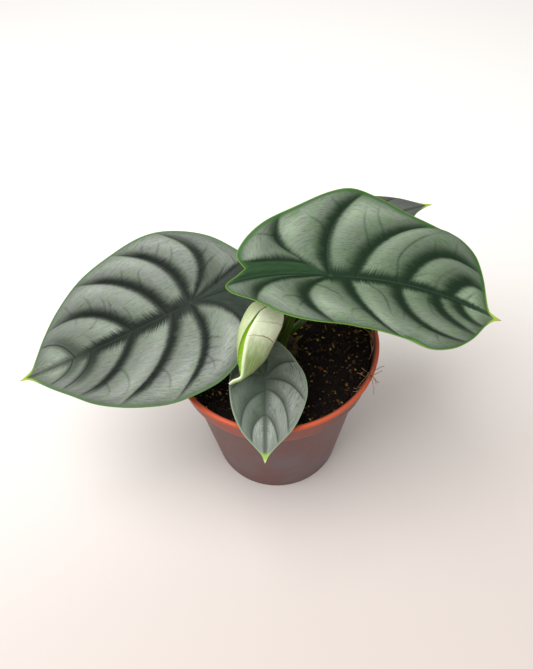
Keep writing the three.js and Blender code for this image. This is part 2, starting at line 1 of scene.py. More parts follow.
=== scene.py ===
import logging
import math
from dataclasses import dataclass, field
from enum import Enum
from typing import Any, Optional, Sequence, Union

import bmesh
import bpy
import numpy as np
from mathutils import Matrix, Vector
from mathutils.kdtree import KDTree


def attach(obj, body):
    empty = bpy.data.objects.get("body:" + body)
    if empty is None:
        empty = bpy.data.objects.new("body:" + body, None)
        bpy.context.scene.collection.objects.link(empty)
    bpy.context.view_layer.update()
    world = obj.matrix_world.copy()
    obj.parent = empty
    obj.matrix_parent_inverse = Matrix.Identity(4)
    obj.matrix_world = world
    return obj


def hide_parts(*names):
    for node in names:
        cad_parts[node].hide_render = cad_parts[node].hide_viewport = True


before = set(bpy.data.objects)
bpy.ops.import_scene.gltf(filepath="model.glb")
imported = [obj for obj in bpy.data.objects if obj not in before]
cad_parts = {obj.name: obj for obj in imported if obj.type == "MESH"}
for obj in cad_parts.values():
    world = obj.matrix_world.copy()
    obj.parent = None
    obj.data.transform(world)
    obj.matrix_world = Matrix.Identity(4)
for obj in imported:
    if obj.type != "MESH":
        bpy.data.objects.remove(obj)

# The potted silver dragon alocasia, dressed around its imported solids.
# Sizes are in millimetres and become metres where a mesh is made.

LOG = logging.getLogger("alocasia")
MM = 0.001
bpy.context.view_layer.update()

Colour = tuple[float, float, float, float]
Span = tuple[float, float]
Spot = tuple[float, float, float]
Pairs = tuple[Span, ...]
Spots = tuple[Spot, ...]
Stops = tuple[tuple[float, Colour], ...]
Faces = list[tuple[int, ...]]
Key = Union[str, int]
Sockets = Optional[dict[Key, Any]]
Settings = Optional[dict[str, Any]]
Array = np.ndarray
Mesh = bpy.types.Mesh
Piece = bpy.types.Object
Material = bpy.types.Material


def tone(red: int, green: int, blue: int) -> Colour:
    """Blender's own colour for a screen colour.

    Args:
        red, green, blue: the screen colour, each from 0 to 255.

    Returns:
        The linear colour with full alpha.
    """
    linear = []
    for part in (red, green, blue):
        share = part / 255
        linear.append(share / 12.92 if share <= 0.04045 else ((share + 0.055) / 1.055) ** 2.4)
    return (linear[0], linear[1], linear[2], 1.0)


def shades(*stops: tuple[float, int, int, int]) -> Stops:
    """Colour stops, each given as its place and a screen colour."""
    return tuple((place, tone(*colour)) for place, *colour in stops)


# Node trees

Number = Union["Wire", float]


class Wire:
    """One output of a node. Arithmetic on it adds Math nodes."""

    def __init__(self, sheet: "NodeSheet", socket: bpy.types.NodeSocket) -> None:
        """Keeps the socket and the sheet that it is on."""
        self.sheet = sheet
        self.socket = socket

    def __add__(self, other: Number) -> "Wire":
        """Adds a number or a wire."""
        return self.sheet.maths("ADD", self, other)

    def __radd__(self, other: float) -> "Wire":
        """Adds a wire to a number."""
        return self.sheet.maths("ADD", other, self)

    def __sub__(self, other: Number) -> "Wire":
        """Takes a number or a wire away."""
        return self.sheet.maths("SUBTRACT", self, other)

    def __rsub__(self, other: float) -> "Wire":
        """Takes a wire away from a number."""
        return self.sheet.maths("SUBTRACT", other, self)

    def __mul__(self, other: Number) -> "Wire":
        """Multiplies by a number or a wire."""
        return self.sheet.maths("MULTIPLY", self, other)

    def __rmul__(self, other: float) -> "Wire":
        """Multiplies a number by a wire."""
        return self.sheet.maths("MULTIPLY", other, self)

    def step(self, low: float, high: float) -> "Wire":
        """Rises smoothly from 0 where the value is low to 1 where it is high."""
        sockets = {"Value": self, "From Min": low, "From Max": high}
        return self.sheet.wire("ShaderNodeMapRange", {"interpolation_type": "SMOOTHSTEP"}, sockets)

    def fade(self, low: float, high: float) -> "Wire":
        """Falls smoothly from 1 where the value is low to 0 where it is high."""
        return 1.0 - self.step(low, high)


class NodeSheet:
    """A node tree that is being filled in."""

    def __init__(self, tree: bpy.types.NodeTree) -> None:
        """Keeps the tree."""
        self.tree = tree

    def add(self, kind: str, settings: Settings = None, sockets: Sockets = None) -> bpy.types.Node:
        """Adds one node of any type.

        Args:
            kind: the node's type.
            settings: its own settings, made before its sockets are filled.
            sockets: a value, wire or socket for each input, by name or number.

        Returns:
            The new node.
        """
        node = self.tree.nodes.new(kind)
        for name, value in (settings or {}).items():
            if name == "ramp":
                self._fill_ramp(node, value)
            else:
                setattr(node, name, value)
        for key, value in (sockets or {}).items():
            if isinstance(value, Wire):
                self.tree.links.new(value.socket, node.inputs[key])
            elif isinstance(value, bpy.types.NodeSocket):
                self.tree.links.new(value, node.inputs[key])
            else:
                node.inputs[key].default_value = value
        return node

    @staticmethod
    def _fill_ramp(node: bpy.types.Node, stops: Stops) -> None:
        """Gives a colour ramp its stops."""
        elements = node.color_ramp.elements
        for index, (place, colour) in enumerate(stops):
            element = elements[index] if index < 2 else elements.new(place)
            element.position = place
            element.color = colour

    def wire(self, kind: str, settings: Settings = None, sockets: Sockets = None, output: Key = 0) -> Wire:
        """Adds a node and gives one of its outputs as a wire."""
        return Wire(self, self.add(kind, settings, sockets).outputs[output])

    def maths(self, operation: str, first: Number, second: Number = 0.0) -> Wire:
        """Adds one Math node."""
        return self.wire("ShaderNodeMath", {"operation": operation}, {0: first, 1: second})

    def larger(self, first: Number, second: Number) -> Wire:
        """The larger of two values."""
        return self.maths("MAXIMUM", first, second)

    def vector(self, x: Number = 0.0, y: Number = 0.0, z: Number = 0.0) -> Wire:
        """Three values as one vector."""
        return self.wire("ShaderNodeCombineXYZ", None, {"X": x, "Y": y, "Z": z})

    def vector_maths(self, operation: str, sockets: Sockets) -> Wire:
        """Adds one Vector Math node."""
        return self.wire("ShaderNodeVectorMath", {"operation": operation}, sockets)

    def scaled(self, vector: Wire, by: Spot) -> Wire:
        """A vector with each of its parts multiplied."""
        return self.vector_maths("MULTIPLY", {0: vector, 1: by})


class ShaderSheet(NodeSheet):
    """A material's node tree."""

    def attributes(self, *names: str) -> list[Wire]:
        """Numbers that the mesh carries on its points."""
        return [self.wire("ShaderNodeAttribute", {"attribute_name": name}, None, "Fac") for name in names]

    def attribute_parts(self, name: str) -> list[Wire]:
        """The three parts of a vector that the mesh carries."""
        return self.parts(self.wire("ShaderNodeAttribute", {"attribute_name": name}, None, "Vector"))

    def parts(self, vector: Wire) -> list[Wire]:
        """The three parts of a vector."""
        node = self.add("ShaderNodeSeparateXYZ", None, {0: vector})
        return [Wire(self, node.outputs[k]) for k in range(3)]

    def place(self) -> Wire:
        """The point on the piece, in millimetres."""
        here = self.wire("ShaderNodeTexCoord", None, None, "Object")
        return self.scaled(here, (1 / MM, 1 / MM, 1 / MM))

    def noise(self, vector: Wire, scale: float, detail: float = 2.0, roughness: float = 0.5) -> Wire:
        """Soft noise, mostly from 0.3 to 0.7."""
        sockets = {"Vector": vector, "Scale": scale, "Detail": detail, "Roughness": roughness}
        return self.wire("ShaderNodeTexNoise", {"noise_dimensions": "3D"}, sockets)

    def cracks(self, vector: Wire, scale: float) -> Wire:
        """How far a point lies from the nearest wall between cells."""
        settings = {"voronoi_dimensions": "3D", "feature": "DISTANCE_TO_EDGE"}
        return self.wire("ShaderNodeTexVoronoi", settings, {"Vector": vector, "Scale": scale})

    def mix(self, share: Number, first: Any, second: Any) -> Wire:
        """The first colour where share is 0 and the second where it is 1."""
        return self.wire("ShaderNodeMix", {"data_type": "RGBA"}, {0: share, 6: first, 7: second}, 2)

    def coated(self, colour: Any, *coats: tuple[Number, Any]) -> Wire:
        """A colour under coats, each given as how much of it shows and its own colour."""
        for share, coat in coats:
            colour = self.mix(share, colour, coat)
        return colour

    def bump(self, height: Wire, depth: float, strength: float) -> Wire:
        """A normal for relief that is this deep, in millimetres."""
        sockets = {"Height": height, "Distance": depth * MM, "Strength": strength}
        return self.wire("ShaderNodeBump", None, sockets)


# Finishes


@dataclass(frozen=True)
class Finish:
    """What a surface is made of. Each kind says how it is painted."""

    name: str

    def paint(self, sheet: ShaderSheet) -> dict[str, Any]:
        """The values and wires for the surface shader's sockets."""
        raise NotImplementedError

    def material(self) -> Material:
        """Builds the finish as a material."""
        material = bpy.data.materials.new(self.name)
        material.use_nodes = True
        tree = material.node_tree
        tree.nodes.clear()
        sheet = ShaderSheet(tree)
        surface = sheet.add("ShaderNodeBsdfPrincipled", None, self.paint(sheet))
        sheet.add("ShaderNodeOutputMaterial", None, {"Surface": surface.outputs[0]})
        return material


@dataclass(frozen=True)
class SilverFinish(Finish):
    """The upper face of an alocasia blade: silver pads between dark feathered veins."""

    silver: Colour
    tint: Colour
    dark: Colour
    deep: Colour
    plain: Colour
    light: Colour
    vein_line: Colour
    margin: Colour
    edge_line: Colour
    margin_width: float
    cusp: Colour = tone(150, 176, 60)
    point: Colour = tone(190, 120, 92)
    cusp_reach: float = 12.0
    contrast: float = 1.0
    feather: float = 1.0
    heart_reach: float = 9.0
    line_strength: float = 0.08
    # How much painted shade darkens the pads towards the tip.
    end_shade: float = 0.0
    # How much painted shade darkens the pads at their outer ends near the margin.
    margin_shade: float = 0.3
    # How much the bands' feathering beside each basal vein is widened, partly with painted shade.
    basal_shade: float = 0.4
    margin_fade: float = 0.2
    tip_fade: float = 0.0
    # How much a painted highlight lightens the crown of each pad.
    crown_highlight: float = 0.3
    texture: float = 1.0
    roughness: float = 0.52

    def paint(self, sheet: ShaderSheet) -> dict[str, Any]:
        """Pads, bands, veins, margin and cusp, from what the blade carries."""
        along, across, pad = sheet.attribute_parts("place")
        beside, basal, rib = sheet.attribute_parts("band")
        vein, rib_mm, second, silvered = sheet.attributes("vein", "rib_mm", "second", "silver")
        edge, green_rim, from_tip, heart = sheet.attributes("edge", "green_rim", "from_tip", "heart")

        streaks = sheet.noise(sheet.vector(along * 1.7, across * 0.11, pad * 9.7), 1.0, 3.0, 0.6)
        rays = sheet.noise(sheet.vector(along * 0.12, across * 1.5, pad * 5.3), 1.0, 3.0, 0.6)
        blots = sheet.noise(sheet.vector(along, across, pad * 3.1), 0.14, 3.0)
        fine = sheet.noise(sheet.vector(along * 3.2, across * 0.4, pad * 2.3), 1.0, 2.0)
        ragged = (streaks - 0.5) * self.feather

        beside_vein = (beside + ragged).fade(0.2, 1.15)
        # Beside each basal vein: the band's own feathering, widened with painted shade that makes the pads
        # look puffed.
        basal_halo_and_shade = (basal + ragged).fade(0.2, 4.0) * self.basal_shade
        beside_rib = (rib + (rays - 0.5) * (self.feather * 1.1)).fade(0.3, 1.15)
        beside_second = (second + ragged * 0.9).fade(0.0, 1.8) * 0.34
        lit = (1.0 - beside_vein) * (1.0 - basal_halo_and_shade) * (1.0 - beside_rib) * (1.0 - beside_second)
        near_end = from_tip.fade(14.0, 56.0) * self.tip_fade
        near_margin = (edge + ragged * 2.0).fade(1.0, 10.0) * self.margin_fade
        shade = (1.0 - lit) * (1.0 - near_end) * (1.0 - near_margin)

        inner_end = along.fade(7.0, 24.0) * 0.7
        # The crown of each pad, where a painted highlight goes.
        crown = (beside + ragged).step(0.9, 2.4) * (basal + ragged * 2.0).step(0.8, 5.0)
        # Painted shade at the pads' outer ends near the margin.
        margin_pillow_shade = (edge + (rays - 0.5) * 4.0).fade(0.5, 8.0)
        pads = sheet.coated(
            self.silver,
            (sheet.larger(blots.step(0.42, 0.7), inner_end), self.tint),
            # A painted highlight on the crown of each pad.
            (crown * edge.step(4.0, 14.0) * self.crown_highlight, self.light),
            (streaks.step(0.46, 0.7) * (0.32 * self.texture), self.dark),
            (fine.step(0.52, 0.72) * (0.26 * self.texture), self.light),
            (fine.fade(0.3, 0.46) * (0.24 * self.texture), self.dark),
            # Painted shade that darkens the pads towards the tip.
            (from_tip.fade(40.0, 95.0) * self.end_shade, self.dark),
            # Painted shade at the pads' outer ends.
            (margin_pillow_shade * self.margin_shade, self.dark),
        )
        bands = sheet.mix(fine.step(0.4, 0.7) * 0.4, self.dark, self.deep)
        bare = sheet.mix(rays.step(0.35, 0.7) * 0.6, self.plain, self.dark)

        sunk = vein.fade(0.15, 0.8)
        thin = second.fade(0.05, 0.42)
        wavy = green_rim + (streaks - 0.5) * 0.8
        near_tip = from_tip.fade(self.cusp_reach * 0.3, self.cusp_reach)
        colour = sheet.coated(
            sheet.mix(silvered, bare, sheet.mix(shade * self.contrast, pads, bands)),
            (sunk * 0.7, self.deep),
            (vein.fade(0.02, 0.24) * self.line_strength, self.vein_line),
            (rib_mm.fade(0.4, 1.3) * 0.45, self.dark),
            (rib_mm.fade(0.05, 0.45) * self.line_strength, self.vein_line),
            (thin * 0.62, self.deep),
            (heart.fade(2.0, self.heart_reach) * 0.6, self.dark),
            (heart.fade(0.4, 1.6) * self.line_strength, self.vein_line),
            (wavy.fade(self.margin_width * 0.5, self.margin_width * 1.5) * 0.82, self.margin),
            (edge.fade(0.15, 0.6) * 0.75, self.edge_line),
            (near_tip * edge.fade(0.5, 1.5), self.cusp),
            (from_tip.fade(3.2, 6.0), self.cusp),
            (from_tip.fade(0.6, 2.8) * 0.7, self.point),
        )
        return {
            "Base Color": colour,
            "Roughness": self.roughness + (fine - 0.5) * 0.16 - shade * 0.06,
            "Specular IOR Level": 0.12,
            "Normal": sheet.bump(streaks * 0.4 + fine * 0.3 - sunk * 0.4 - thin * 0.3, 0.2, 0.6),
        }


@dataclass(frozen=True)
class UndersideFinish(Finish):
    """The lower face of a blade: paler, with raised veins."""

    pale: Colour = tone(150, 170, 140)
    green: Colour = tone(104, 134, 92)
    rib: Colour = tone(170, 186, 128)
    margin: Colour = tone(96, 136, 52)

    def paint(self, sheet: ShaderSheet) -> dict[str, Any]:
        """A pale matt green with lighter veins."""
        along, across, pad = sheet.attribute_parts("place")
        vein, rib_mm, edge = sheet.attributes("vein", "rib_mm", "edge")
        blots = sheet.noise(sheet.vector(along, across, pad * 2.0), 0.2, 3.0)
        net = sheet.cracks(sheet.vector(along * 1.4, across * 0.6, pad * 4.0), 0.4).fade(0.0, 0.12)
        raised = vein.fade(0.3, 1.2)
        colour = sheet.coated(
            self.green,
            (blots.step(0.35, 0.68), self.pale),
            (net * 0.3, self.rib),
            (raised * 0.7, self.rib),
            (rib_mm.fade(0.5, 1.9) * 0.8, self.rib),
            (edge.fade(0.2, 1.4) * 0.7, self.margin),
        )
        relief = blots * 0.4 + net * 0.3 + raised * 0.3
        return {"Base Color": colour, "Roughness": 0.55, "Normal": sheet.bump(relief, 0.25, 0.6)}


@dataclass(frozen=True)
class StalkFinish(Finish):
    """A fleshy leaf stalk with fine lengthwise stripes."""

    green: Colour = tone(72, 96, 26)
    shade: Colour = tone(40, 62, 18)
    light: Colour = tone(124, 140, 52)
    foot: Colour = tone(104, 74, 50)
    foot_heights: Span = (99.0, 108.0)

    def paint(self, sheet: ShaderSheet) -> dict[str, Any]:
        """Stripes along the stalk, browner at its foot."""
        along, around, height = sheet.attribute_parts("place")
        stripes = sheet.noise(sheet.vector(along * 0.03, around * 1.3), 1.0, 3.0, 0.6)
        mottle = sheet.noise(sheet.vector(along * 0.3, around * 0.9), 1.0, 3.0)
        colour = sheet.coated(
            self.shade,
            (stripes.step(0.34, 0.66), self.green),
            (stripes.step(0.56, 0.8) * 0.7, self.light),
            (mottle.step(0.55, 0.8) * 0.25, self.foot),
            (height.fade(*self.foot_heights) * 0.65, self.foot),
        )
        return {
            "Base Color": colour,
            "Roughness": 0.4 + (mottle - 0.5) * 0.2,
            "Subsurface Weight": 0.08,
            "Subsurface Scale": 0.002,
            "Normal": sheet.bump(stripes * 0.7 + mottle * 0.3, 0.25, 0.7),
        }


@dataclass(frozen=True)
class RolledLeafFinish(Finish):
    """The rolled new leaf: cream outside, fresh green inside its slit.
    A crease is its place along the leaf, its bend and its lean across it, and how dark it is."""

    cream: Colour = tone(208, 214, 184)
    green: Colour = tone(106, 126, 66)
    lime: Colour = tone(134, 176, 30)
    deep_lime: Colour = tone(106, 148, 18)
    edge: Colour = tone(232, 240, 204)
    flap: Colour = tone(188, 212, 124)
    tip: Colour = tone(206, 216, 140)
    crease: Colour = tone(104, 46, 26)
    greening: Span = (18.0, 42.0)
    tip_reach: Span = (58.0, 70.0)
    creases: tuple[Colour, ...] = ((21.0, 0.012, 0.36, 0.3), (27.6, 0.034, 0.29, 0.95))

    def paint(self, sheet: ShaderSheet) -> dict[str, Any]:
        """Cream above, greener to the tip, with two fine brown creases across it."""
        length, turn, _ = sheet.attribute_parts("place")
        inside, lip = sheet.attributes("inside", "lip")
        clouds = sheet.noise(sheet.vector(length * 0.5, turn * 1.2), 0.35, 3.0)
        threads = sheet.noise(sheet.vector(length * 0.05, turn * 2.1), 1.0, 3.0, 0.6)
        veins = sheet.noise(sheet.vector(length * 1.1, turn * 0.15), 1.0, 2.0, 0.6)
        within = sheet.mix(threads.step(0.4, 0.7), self.lime, self.deep_lime)
        reach = turn.fade(2.5, 5.0) * (1.0 - turn.step(-7.0, 4.0) * 0.6)
        creased = None
        for place, bend, lean, strength in self.creases:
            bow = turn * turn * bend + turn * lean
            off = sheet.maths("ABSOLUTE", length - place - bow + (clouds - 0.5) * 1.2)
            mark = off.fade(0.08, 0.42) * reach * strength
            creased = mark if creased is None else sheet.larger(creased, mark)
        colour = sheet.coated(
            self.cream,
            ((length + (clouds - 0.5) * 12.0).step(*self.greening), self.green),
            (turn.step(4.5, 8.0) * 0.4, self.flap),
            (threads.step(0.5, 0.75) * 0.3, self.edge),
            (veins.step(0.55, 0.75) * 0.22, self.green),
            # A painted highlight along the rounded lip over the slit.
            (lip * 0.75, self.edge),
            (inside, within),
            (length.step(*self.tip_reach) * 0.7, self.tip),
            (creased * (1.0 - inside), self.crease),
        )
        return {
            "Base Color": colour,
            "Roughness": 0.4 + (clouds - 0.5) * 0.15,
            "Subsurface Weight": 0.12,
            "Subsurface Scale": 0.003,
            "Normal": sheet.bump(threads * 0.5 + veins * 0.4 - creased * 0.8, 0.22, 0.7),
        }


@dataclass(frozen=True)
class PotFinish(Finish):
    """Thin terracotta-coloured plastic, scuffed, with painted light on its lip, painted shade on its right
    side and a painted pale reflection below its collar.
    """

    clay: Colour = tone(150, 68, 46)
    # The lip's colour under its painted light.
    lip_highlight: Colour = tone(196, 84, 50)
    # The painted shade on the right side, also laid on the body below the collar.
    shade_tone: Colour = tone(80, 48, 42)
    # The pale tone of the scuffs and of the painted reflection.
    scuff_and_reflection: Colour = tone(100, 86, 90)
    dirt: Colour = tone(36, 22, 15)
    lip_heights: Span = (103.9, 104.6)
    lip_radii: Span = (57.8, 58.6)
    body_heights: Span = (86.0, 89.0)
    soil_heights: Span = (99.0, 106.0)

    def paint(self, sheet: ShaderSheet) -> dict[str, Any]:
        """A lip lit with painted light, a satin collar with painted shade on its right, scuffs and a painted
        reflection on the body, and soil inside.
        """
        place = sheet.place()
        radius, height, inner = sheet.attribute_parts("place")
        sideways = sheet.parts(place)[0]
        clouds = sheet.noise(place, 0.035, 3.0)
        scuffs = sheet.noise(sheet.scaled(place, (1.0, 1.0, 0.16)), 0.55, 4.0, 0.65)
        grain = sheet.noise(place, 2.2, 2.0)
        # Where the lip takes painted light.
        lip = height.step(*self.lip_heights) * radius.step(*self.lip_radii)
        body = height.fade(*self.body_heights)
        # Painted shade over the pot's right side.
        right_side_shade = (sideways + (clouds - 0.5) * 40.0).step(-10.0, 40.0) * 0.75
        worn = (clouds + (scuffs - 0.5) * 0.5).step(0.42, 0.72) * (0.1 + body * 0.5)
        # Real scuffs, plus a painted pale reflection on the body and on the shaded right side.
        scuffs_and_reflection = worn + sheet.larger(right_side_shade * 0.7, body) * 0.38
        soiled = inner * (height + (scuffs - 0.5) * 9.0).fade(*self.soil_heights)
        specks = grain.step(0.68, 0.74) * 0.35
        colour = sheet.coated(
            self.clay,
            # Painted shade on the right side, also on the body below the collar.
            (sheet.larger(right_side_shade, body * 0.7), self.shade_tone),
            # Painted light on the lip.
            (lip * 0.85, self.lip_highlight),
            # Scuffs and the painted reflection, kept off the lip.
            (scuffs_and_reflection * (1.0 - lip), self.scuff_and_reflection),
            (soiled * 0.85, self.dirt),
            (specks * (1.0 - lip * 0.6), self.dirt),
        )
        return {
            "Base Color": colour,
            "Roughness": 0.36 + scuffs * 0.16 + soiled * 0.3,
            "Specular IOR Level": 0.25,
            "Normal": sheet.bump(scuffs * 0.5 + grain * 0.2, 0.12, 0.5),
        }


@dataclass(frozen=True)
class SoilFinish(Finish):
    """Damp peat under the crumbs."""

    dark: Colour = tone(12, 8, 6)
    brown: Colour = tone(40, 25, 15)
    moss: Colour = tone(46, 46, 17)

    def paint(self, sheet: ShaderSheet) -> dict[str, Any]:
        """Near black with brown and mossy grains."""
        place = sheet.place()
        grains = sheet.noise(place, 0.9, 5.0, 0.7)
        patches = sheet.noise(place, 0.12, 2.0)
        colour = sheet.coated(
            self.dark,
            (grains.step(0.5, 0.72), self.brown),
            ((grains + patches * 0.4).step(0.84, 0.95) * 0.6, self.moss),
        )
        relief = sheet.bump(grains, 0.9, 0.9)
        return {"Base Color": colour, "Roughness": 0.9, "Specular IOR Level": 0.15, "Normal": relief}


@dataclass(frozen=True)
class CrumbFinish(Finish):
    """Loose bits on the soil. Each stop is a share of them and the colour that they have there."""

    stops: Stops

    def paint(self, sheet: ShaderSheet) -> dict[str, Any]:
        """The colour of each bit comes from its own random shade."""
        shade = sheet.attributes("shade")[0]
        mottle = sheet.noise(sheet.place(), 1.6, 3.0, 0.65)
        colour = sheet.wire("ShaderNodeValToRGB", {"ramp": self.stops}, {0: shade + (mottle - 0.5) * 0.16})
        relief = sheet.bump(mottle, 0.3, 0.8)
        return {"Base Color": colour, "Roughness": 0.85, "Specular IOR Level": 0.15, "Normal": relief}


@dataclass(frozen=True)
class CormFinish(Finish):
    """The corm's brown skin, ringed with old leaf scars."""

    bark: Colour = tone(66, 46, 30)
    scar: Colour = tone(112, 84, 54)
    dark: Colour = tone(24, 16, 12)

    def paint(self, sheet: ShaderSheet) -> dict[str, Any]:
        """Rings, flakes and soil in the hollows."""
        place = sheet.place()
        rings = sheet.noise(sheet.scaled(place, (0.25, 0.25, 2.2)), 0.8, 3.0, 0.6)
        flakes = sheet.noise(place, 0.7, 4.0, 0.7)
        colour = sheet.mix(rings.step(0.4, 0.66), self.dark, self.bark)
        colour = sheet.mix(flakes.step(0.54, 0.76), colour, self.scar)
        return {"Base Color": colour, "Roughness": 0.82, "Normal": sheet.bump(rings + flakes, 0.7, 0.8)}


@dataclass(frozen=True)
class ThreadFinish(Finish):
    """Dry roots and fibres."""

    tan: Colour = tone(164, 126, 84)
    rust: Colour = tone(120, 66, 36)

    def paint(self, sheet: ShaderSheet) -> dict[str, Any]:
        """Tan, going rusty in places."""
        place = sheet.place()
        mottle = sheet.noise(place, 0.35, 3.0)
        fine = sheet.noise(place, 3.0, 2.0)
        colour = sheet.mix(mottle.step(0.4, 0.62), self.tan, self.rust)
        return {"Base Color": colour, "Roughness": 0.7, "Normal": sheet.bump(fine, 0.08, 0.6)}


@dataclass(frozen=True)
class FloorFinish(Finish):
    """The plain pale ground, with painted shade that darkens it towards the front."""

    white: Colour = tone(250, 248, 245)
    # The tone of the painted shade towards the front.
    shade_grey: Colour = tone(208, 198, 193)
    painted_shade_span: Span = (-280.0, 180.0)

    def paint(self, sheet: ShaderSheet) -> dict[str, Any]:
        """A matt white with painted shade that darkens it towards the front."""
        place = sheet.place()
        clouds = sheet.noise(place, 0.004, 2.0)
        x, y, _ = sheet.parts(place)
        # Painted shade, darker towards the front.
        forward = x * 0.2 - y
        colour = sheet.mix((forward + (clouds - 0.5) * 60.0).step(*self.painted_shade_span), self.white, self.shade_grey)
        return {"Base Color": colour, "Roughness": 0.85, "Specular IOR Level": 0.2}


# Meshes


@dataclass
class Surface:
    """Points in millimetres, their faces, and what each point carries."""

    points: Array
    faces: Faces
    carried: dict[str, Array] = field(default_factory=dict)
    slots: Optional[list[int]] = None

    def mesh(self, name: str, finishes: Sequence[Material], outward: bool = True) -> Mesh:
        """Makes the mesh.

        Args:
            name: the mesh's name.
            finishes: its materials, in the order of the slots.
            outward: whether the faces of the closed surface are turned outwards.

        Returns:
            The mesh, in metres.
        """
        mesh = bpy.data.meshes.new(name)
        mesh.from_pydata((self.points * MM).tolist(), [], self.faces)
        for key, values in self.carried.items():
            kind, item = ("FLOAT_VECTOR", "vector") if values.ndim == 2 else ("FLOAT", "value")
            layer = mesh.attributes.new(key, kind, "POINT")
            layer.data.foreach_set(item, values.astype(np.float32).ravel())
        for finish in finishes:
            mesh.materials.append(finish)
        if self.slots is not None:
            mesh.polygons.foreach_set("material_index", self.slots)
        if outward:
            turn_outward(mesh)
        smooth(mesh)
        return mesh

    def piece(self, name: str, *finishes: Material) -> Piece:
        """Makes the mesh and shows it as an object at the origin."""
        return show(name, self.mesh(name, finishes))


def turn_outward(mesh: Mesh) -> None:
    """Turns the faces of a closed mesh outwards."""
    shell = bmesh.new()
    shell.from_mesh(mesh)
    bmesh.ops.recalc_face_normals(shell, faces=shell.faces)
    shell.to_mesh(mesh)
    shell.free()


def smooth(mesh: Mesh) -> None:
    """Shades all the faces of a mesh smoothly."""
    mesh.polygons.foreach_set("use_smooth", [True] * len(mesh.polygons))
    mesh.update()


def show(name: str, mesh: Mesh) -> Piece:
    """Puts a mesh into the scene as an object at the origin."""
    piece = bpy.data.objects.new(name, mesh)
    bpy.context.scene.collection.objects.link(piece)
    return piece


def settle(piece: Piece, slot: str, *nodes: str) -> None:
    """Makes a finished piece ride on the one body.

    Args:
        piece: the finished piece.
        slot: the record's material slot, which is not used.
        nodes: the solids that it stands for.
    """
    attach(piece, "root")
    if nodes:
        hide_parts(*nodes)
    LOG.info("%s: %d faces", piece.name, len(piece.data.polygons))


class SmoothPath:
    """A centripetal Catmull-Rom line through points, in two or more dimensions."""

    def __init__(self, points: Sequence[Sequence[float]], samples: int = 1600) -> None:
        """Samples the line so that it can be walked by length.

        Args:
            points: what the line runs through.
            samples: how many short chords measure it.
        """
        self.through = np.array(points, float)
        first = 2 * self.through[0] - self.through[1]
        last = 2 * self.through[-1] - self.through[-2]
        self.padded = np.vstack([first, self.through, last])
        self.places = np.linspace(0, 1, samples + 1)
        chords = np.linalg.norm(np.diff(self.point(self.places), axis=0), axis=1)
        self.walked = np.concatenate([[0.0], np.cumsum(chords)])
        self.length = float(self.walked[-1])

    def point(self, place: Any) -> Array:
        """Points at places from 0 to 1, evenly over what the line runs through."""
        steps = np.atleast_1d(np.asarray(place, float)) * (len(self.through) - 1)
        index = np.clip(np.floor(steps).astype(int), 0, len(self.through) - 2)
        share = (steps - index)[:, None]
        near = [self.padded[index + k] for k in range(4)]
        d0, d1, d2 = (np.sqrt(np.linalg.norm(b - a, axis=1))[:, None] for a, b in zip(near, near[1:]))
        p0, p1, p2, p3 = near
        start = ((p1 - p0) / d0 - (p2 - p0) / (d0 + d1) + (p2 - p1) / d1) * d1
        stop = ((p2 - p1) / d1 - (p3 - p1) / (d1 + d2) + (p3 - p2) / d2) * d1
        square = -3 * p1 + 3 * p2 - 2 * start - stop
        cube = 2 * p1 - 2 * p2 + start + stop
        return p1 + share * (start + share * (square + share * cube))

    def at(self, share: Any) -> Array:
        """Points at shares of the line's length."""
        return self.point(np.interp(np.atleast_1d(share) * self.length, self.walked, self.places))

    def tangent(self, share: Any) -> Array:
        """Unit directions at shares of the line's length."""
        share = np.atleast_1d(np.asarray(share, float))
        ahead = self.at(np.clip(share + 1e-4, 0, 1)) - self.at(np.clip(share - 1e-4, 0, 1))
        return ahead / np.linalg.norm(ahead, axis=1)[:, None]


def crosswise(aim: Array, towards: Array) -> tuple[Array, Array]:
    """The two directions across a path, of which the second faces a given way.

    Args:
        aim: the path's direction.
        towards: the way that the second one faces.

    Returns:
        The direction to the side, and the one to the front.
    """
    side = np.cross(aim, towards)
    side /= np.linalg.norm(side)
    return side, np.cross(side, aim)


def turns_round(sides: int) -> Array:
    """Even angles once round."""
    return np.linspace(0, 2 * math.pi, sides, endpoint=False)


def circle(radius: float, height: float, sides: int) -> Array:
    """A level ring of points round Z."""
    angles = turns_round(sides)
    return np.stack([radius * np.cos(angles), radius * np.sin(angles), np.full(sides, height)], axis=1)


def quads(ids: Array) -> Faces:
    """The faces between the rows and columns of a grid of point numbers."""
    corners = np.stack([ids[:-1, :-1], ids[1:, :-1], ids[1:, 1:], ids[:-1, 1:]], axis=-1)
    return [tuple(face) for face in corners.reshape(-1, 4).tolist()]


def closed_rows(count: int, sides: int) -> Array:
    """The point numbers of rings, each of which ends where it starts."""
    ids = np.arange(count * sides).reshape(count, sides)
    return np.hstack([ids, ids[:, :1]])


def closed_loft(
    rings: Sequence[Array], ends: Optional[Sequence[Spot]] = None, **carried: Sequence[Array]
) -> Surface:
    """A closed tube through rings of points, with a fan at each end.

    Args:
        rings: the points of each ring.
        ends: the centres of the two fans, where they aren't the middles of the end rings.
        carried: by name, what the points of each ring carry.

    Returns:
        The closed surface.
    """
    centres = [rings[0].mean(axis=0), rings[-1].mean(axis=0)] if ends is None else ends
    rows = closed_rows(len(rings), len(rings[0]))
    faces = [(a, d, c, b) for a, b, c, d in quads(rows)]
    first_end = int(rows.max()) + 1
    for j in range(len(rings[0])):
        faces.append((first_end, int(rows[0, j + 1]), int(rows[0, j])))
        faces.append((first_end + 1, int(rows[-1, j]), int(rows[-1, j + 1])))
    kept = {key: np.concatenate([*parts, parts[0][:1], parts[-1][:1]]) for key, parts in carried.items()}
    return Surface(np.vstack([*rings, *centres]), faces, kept)


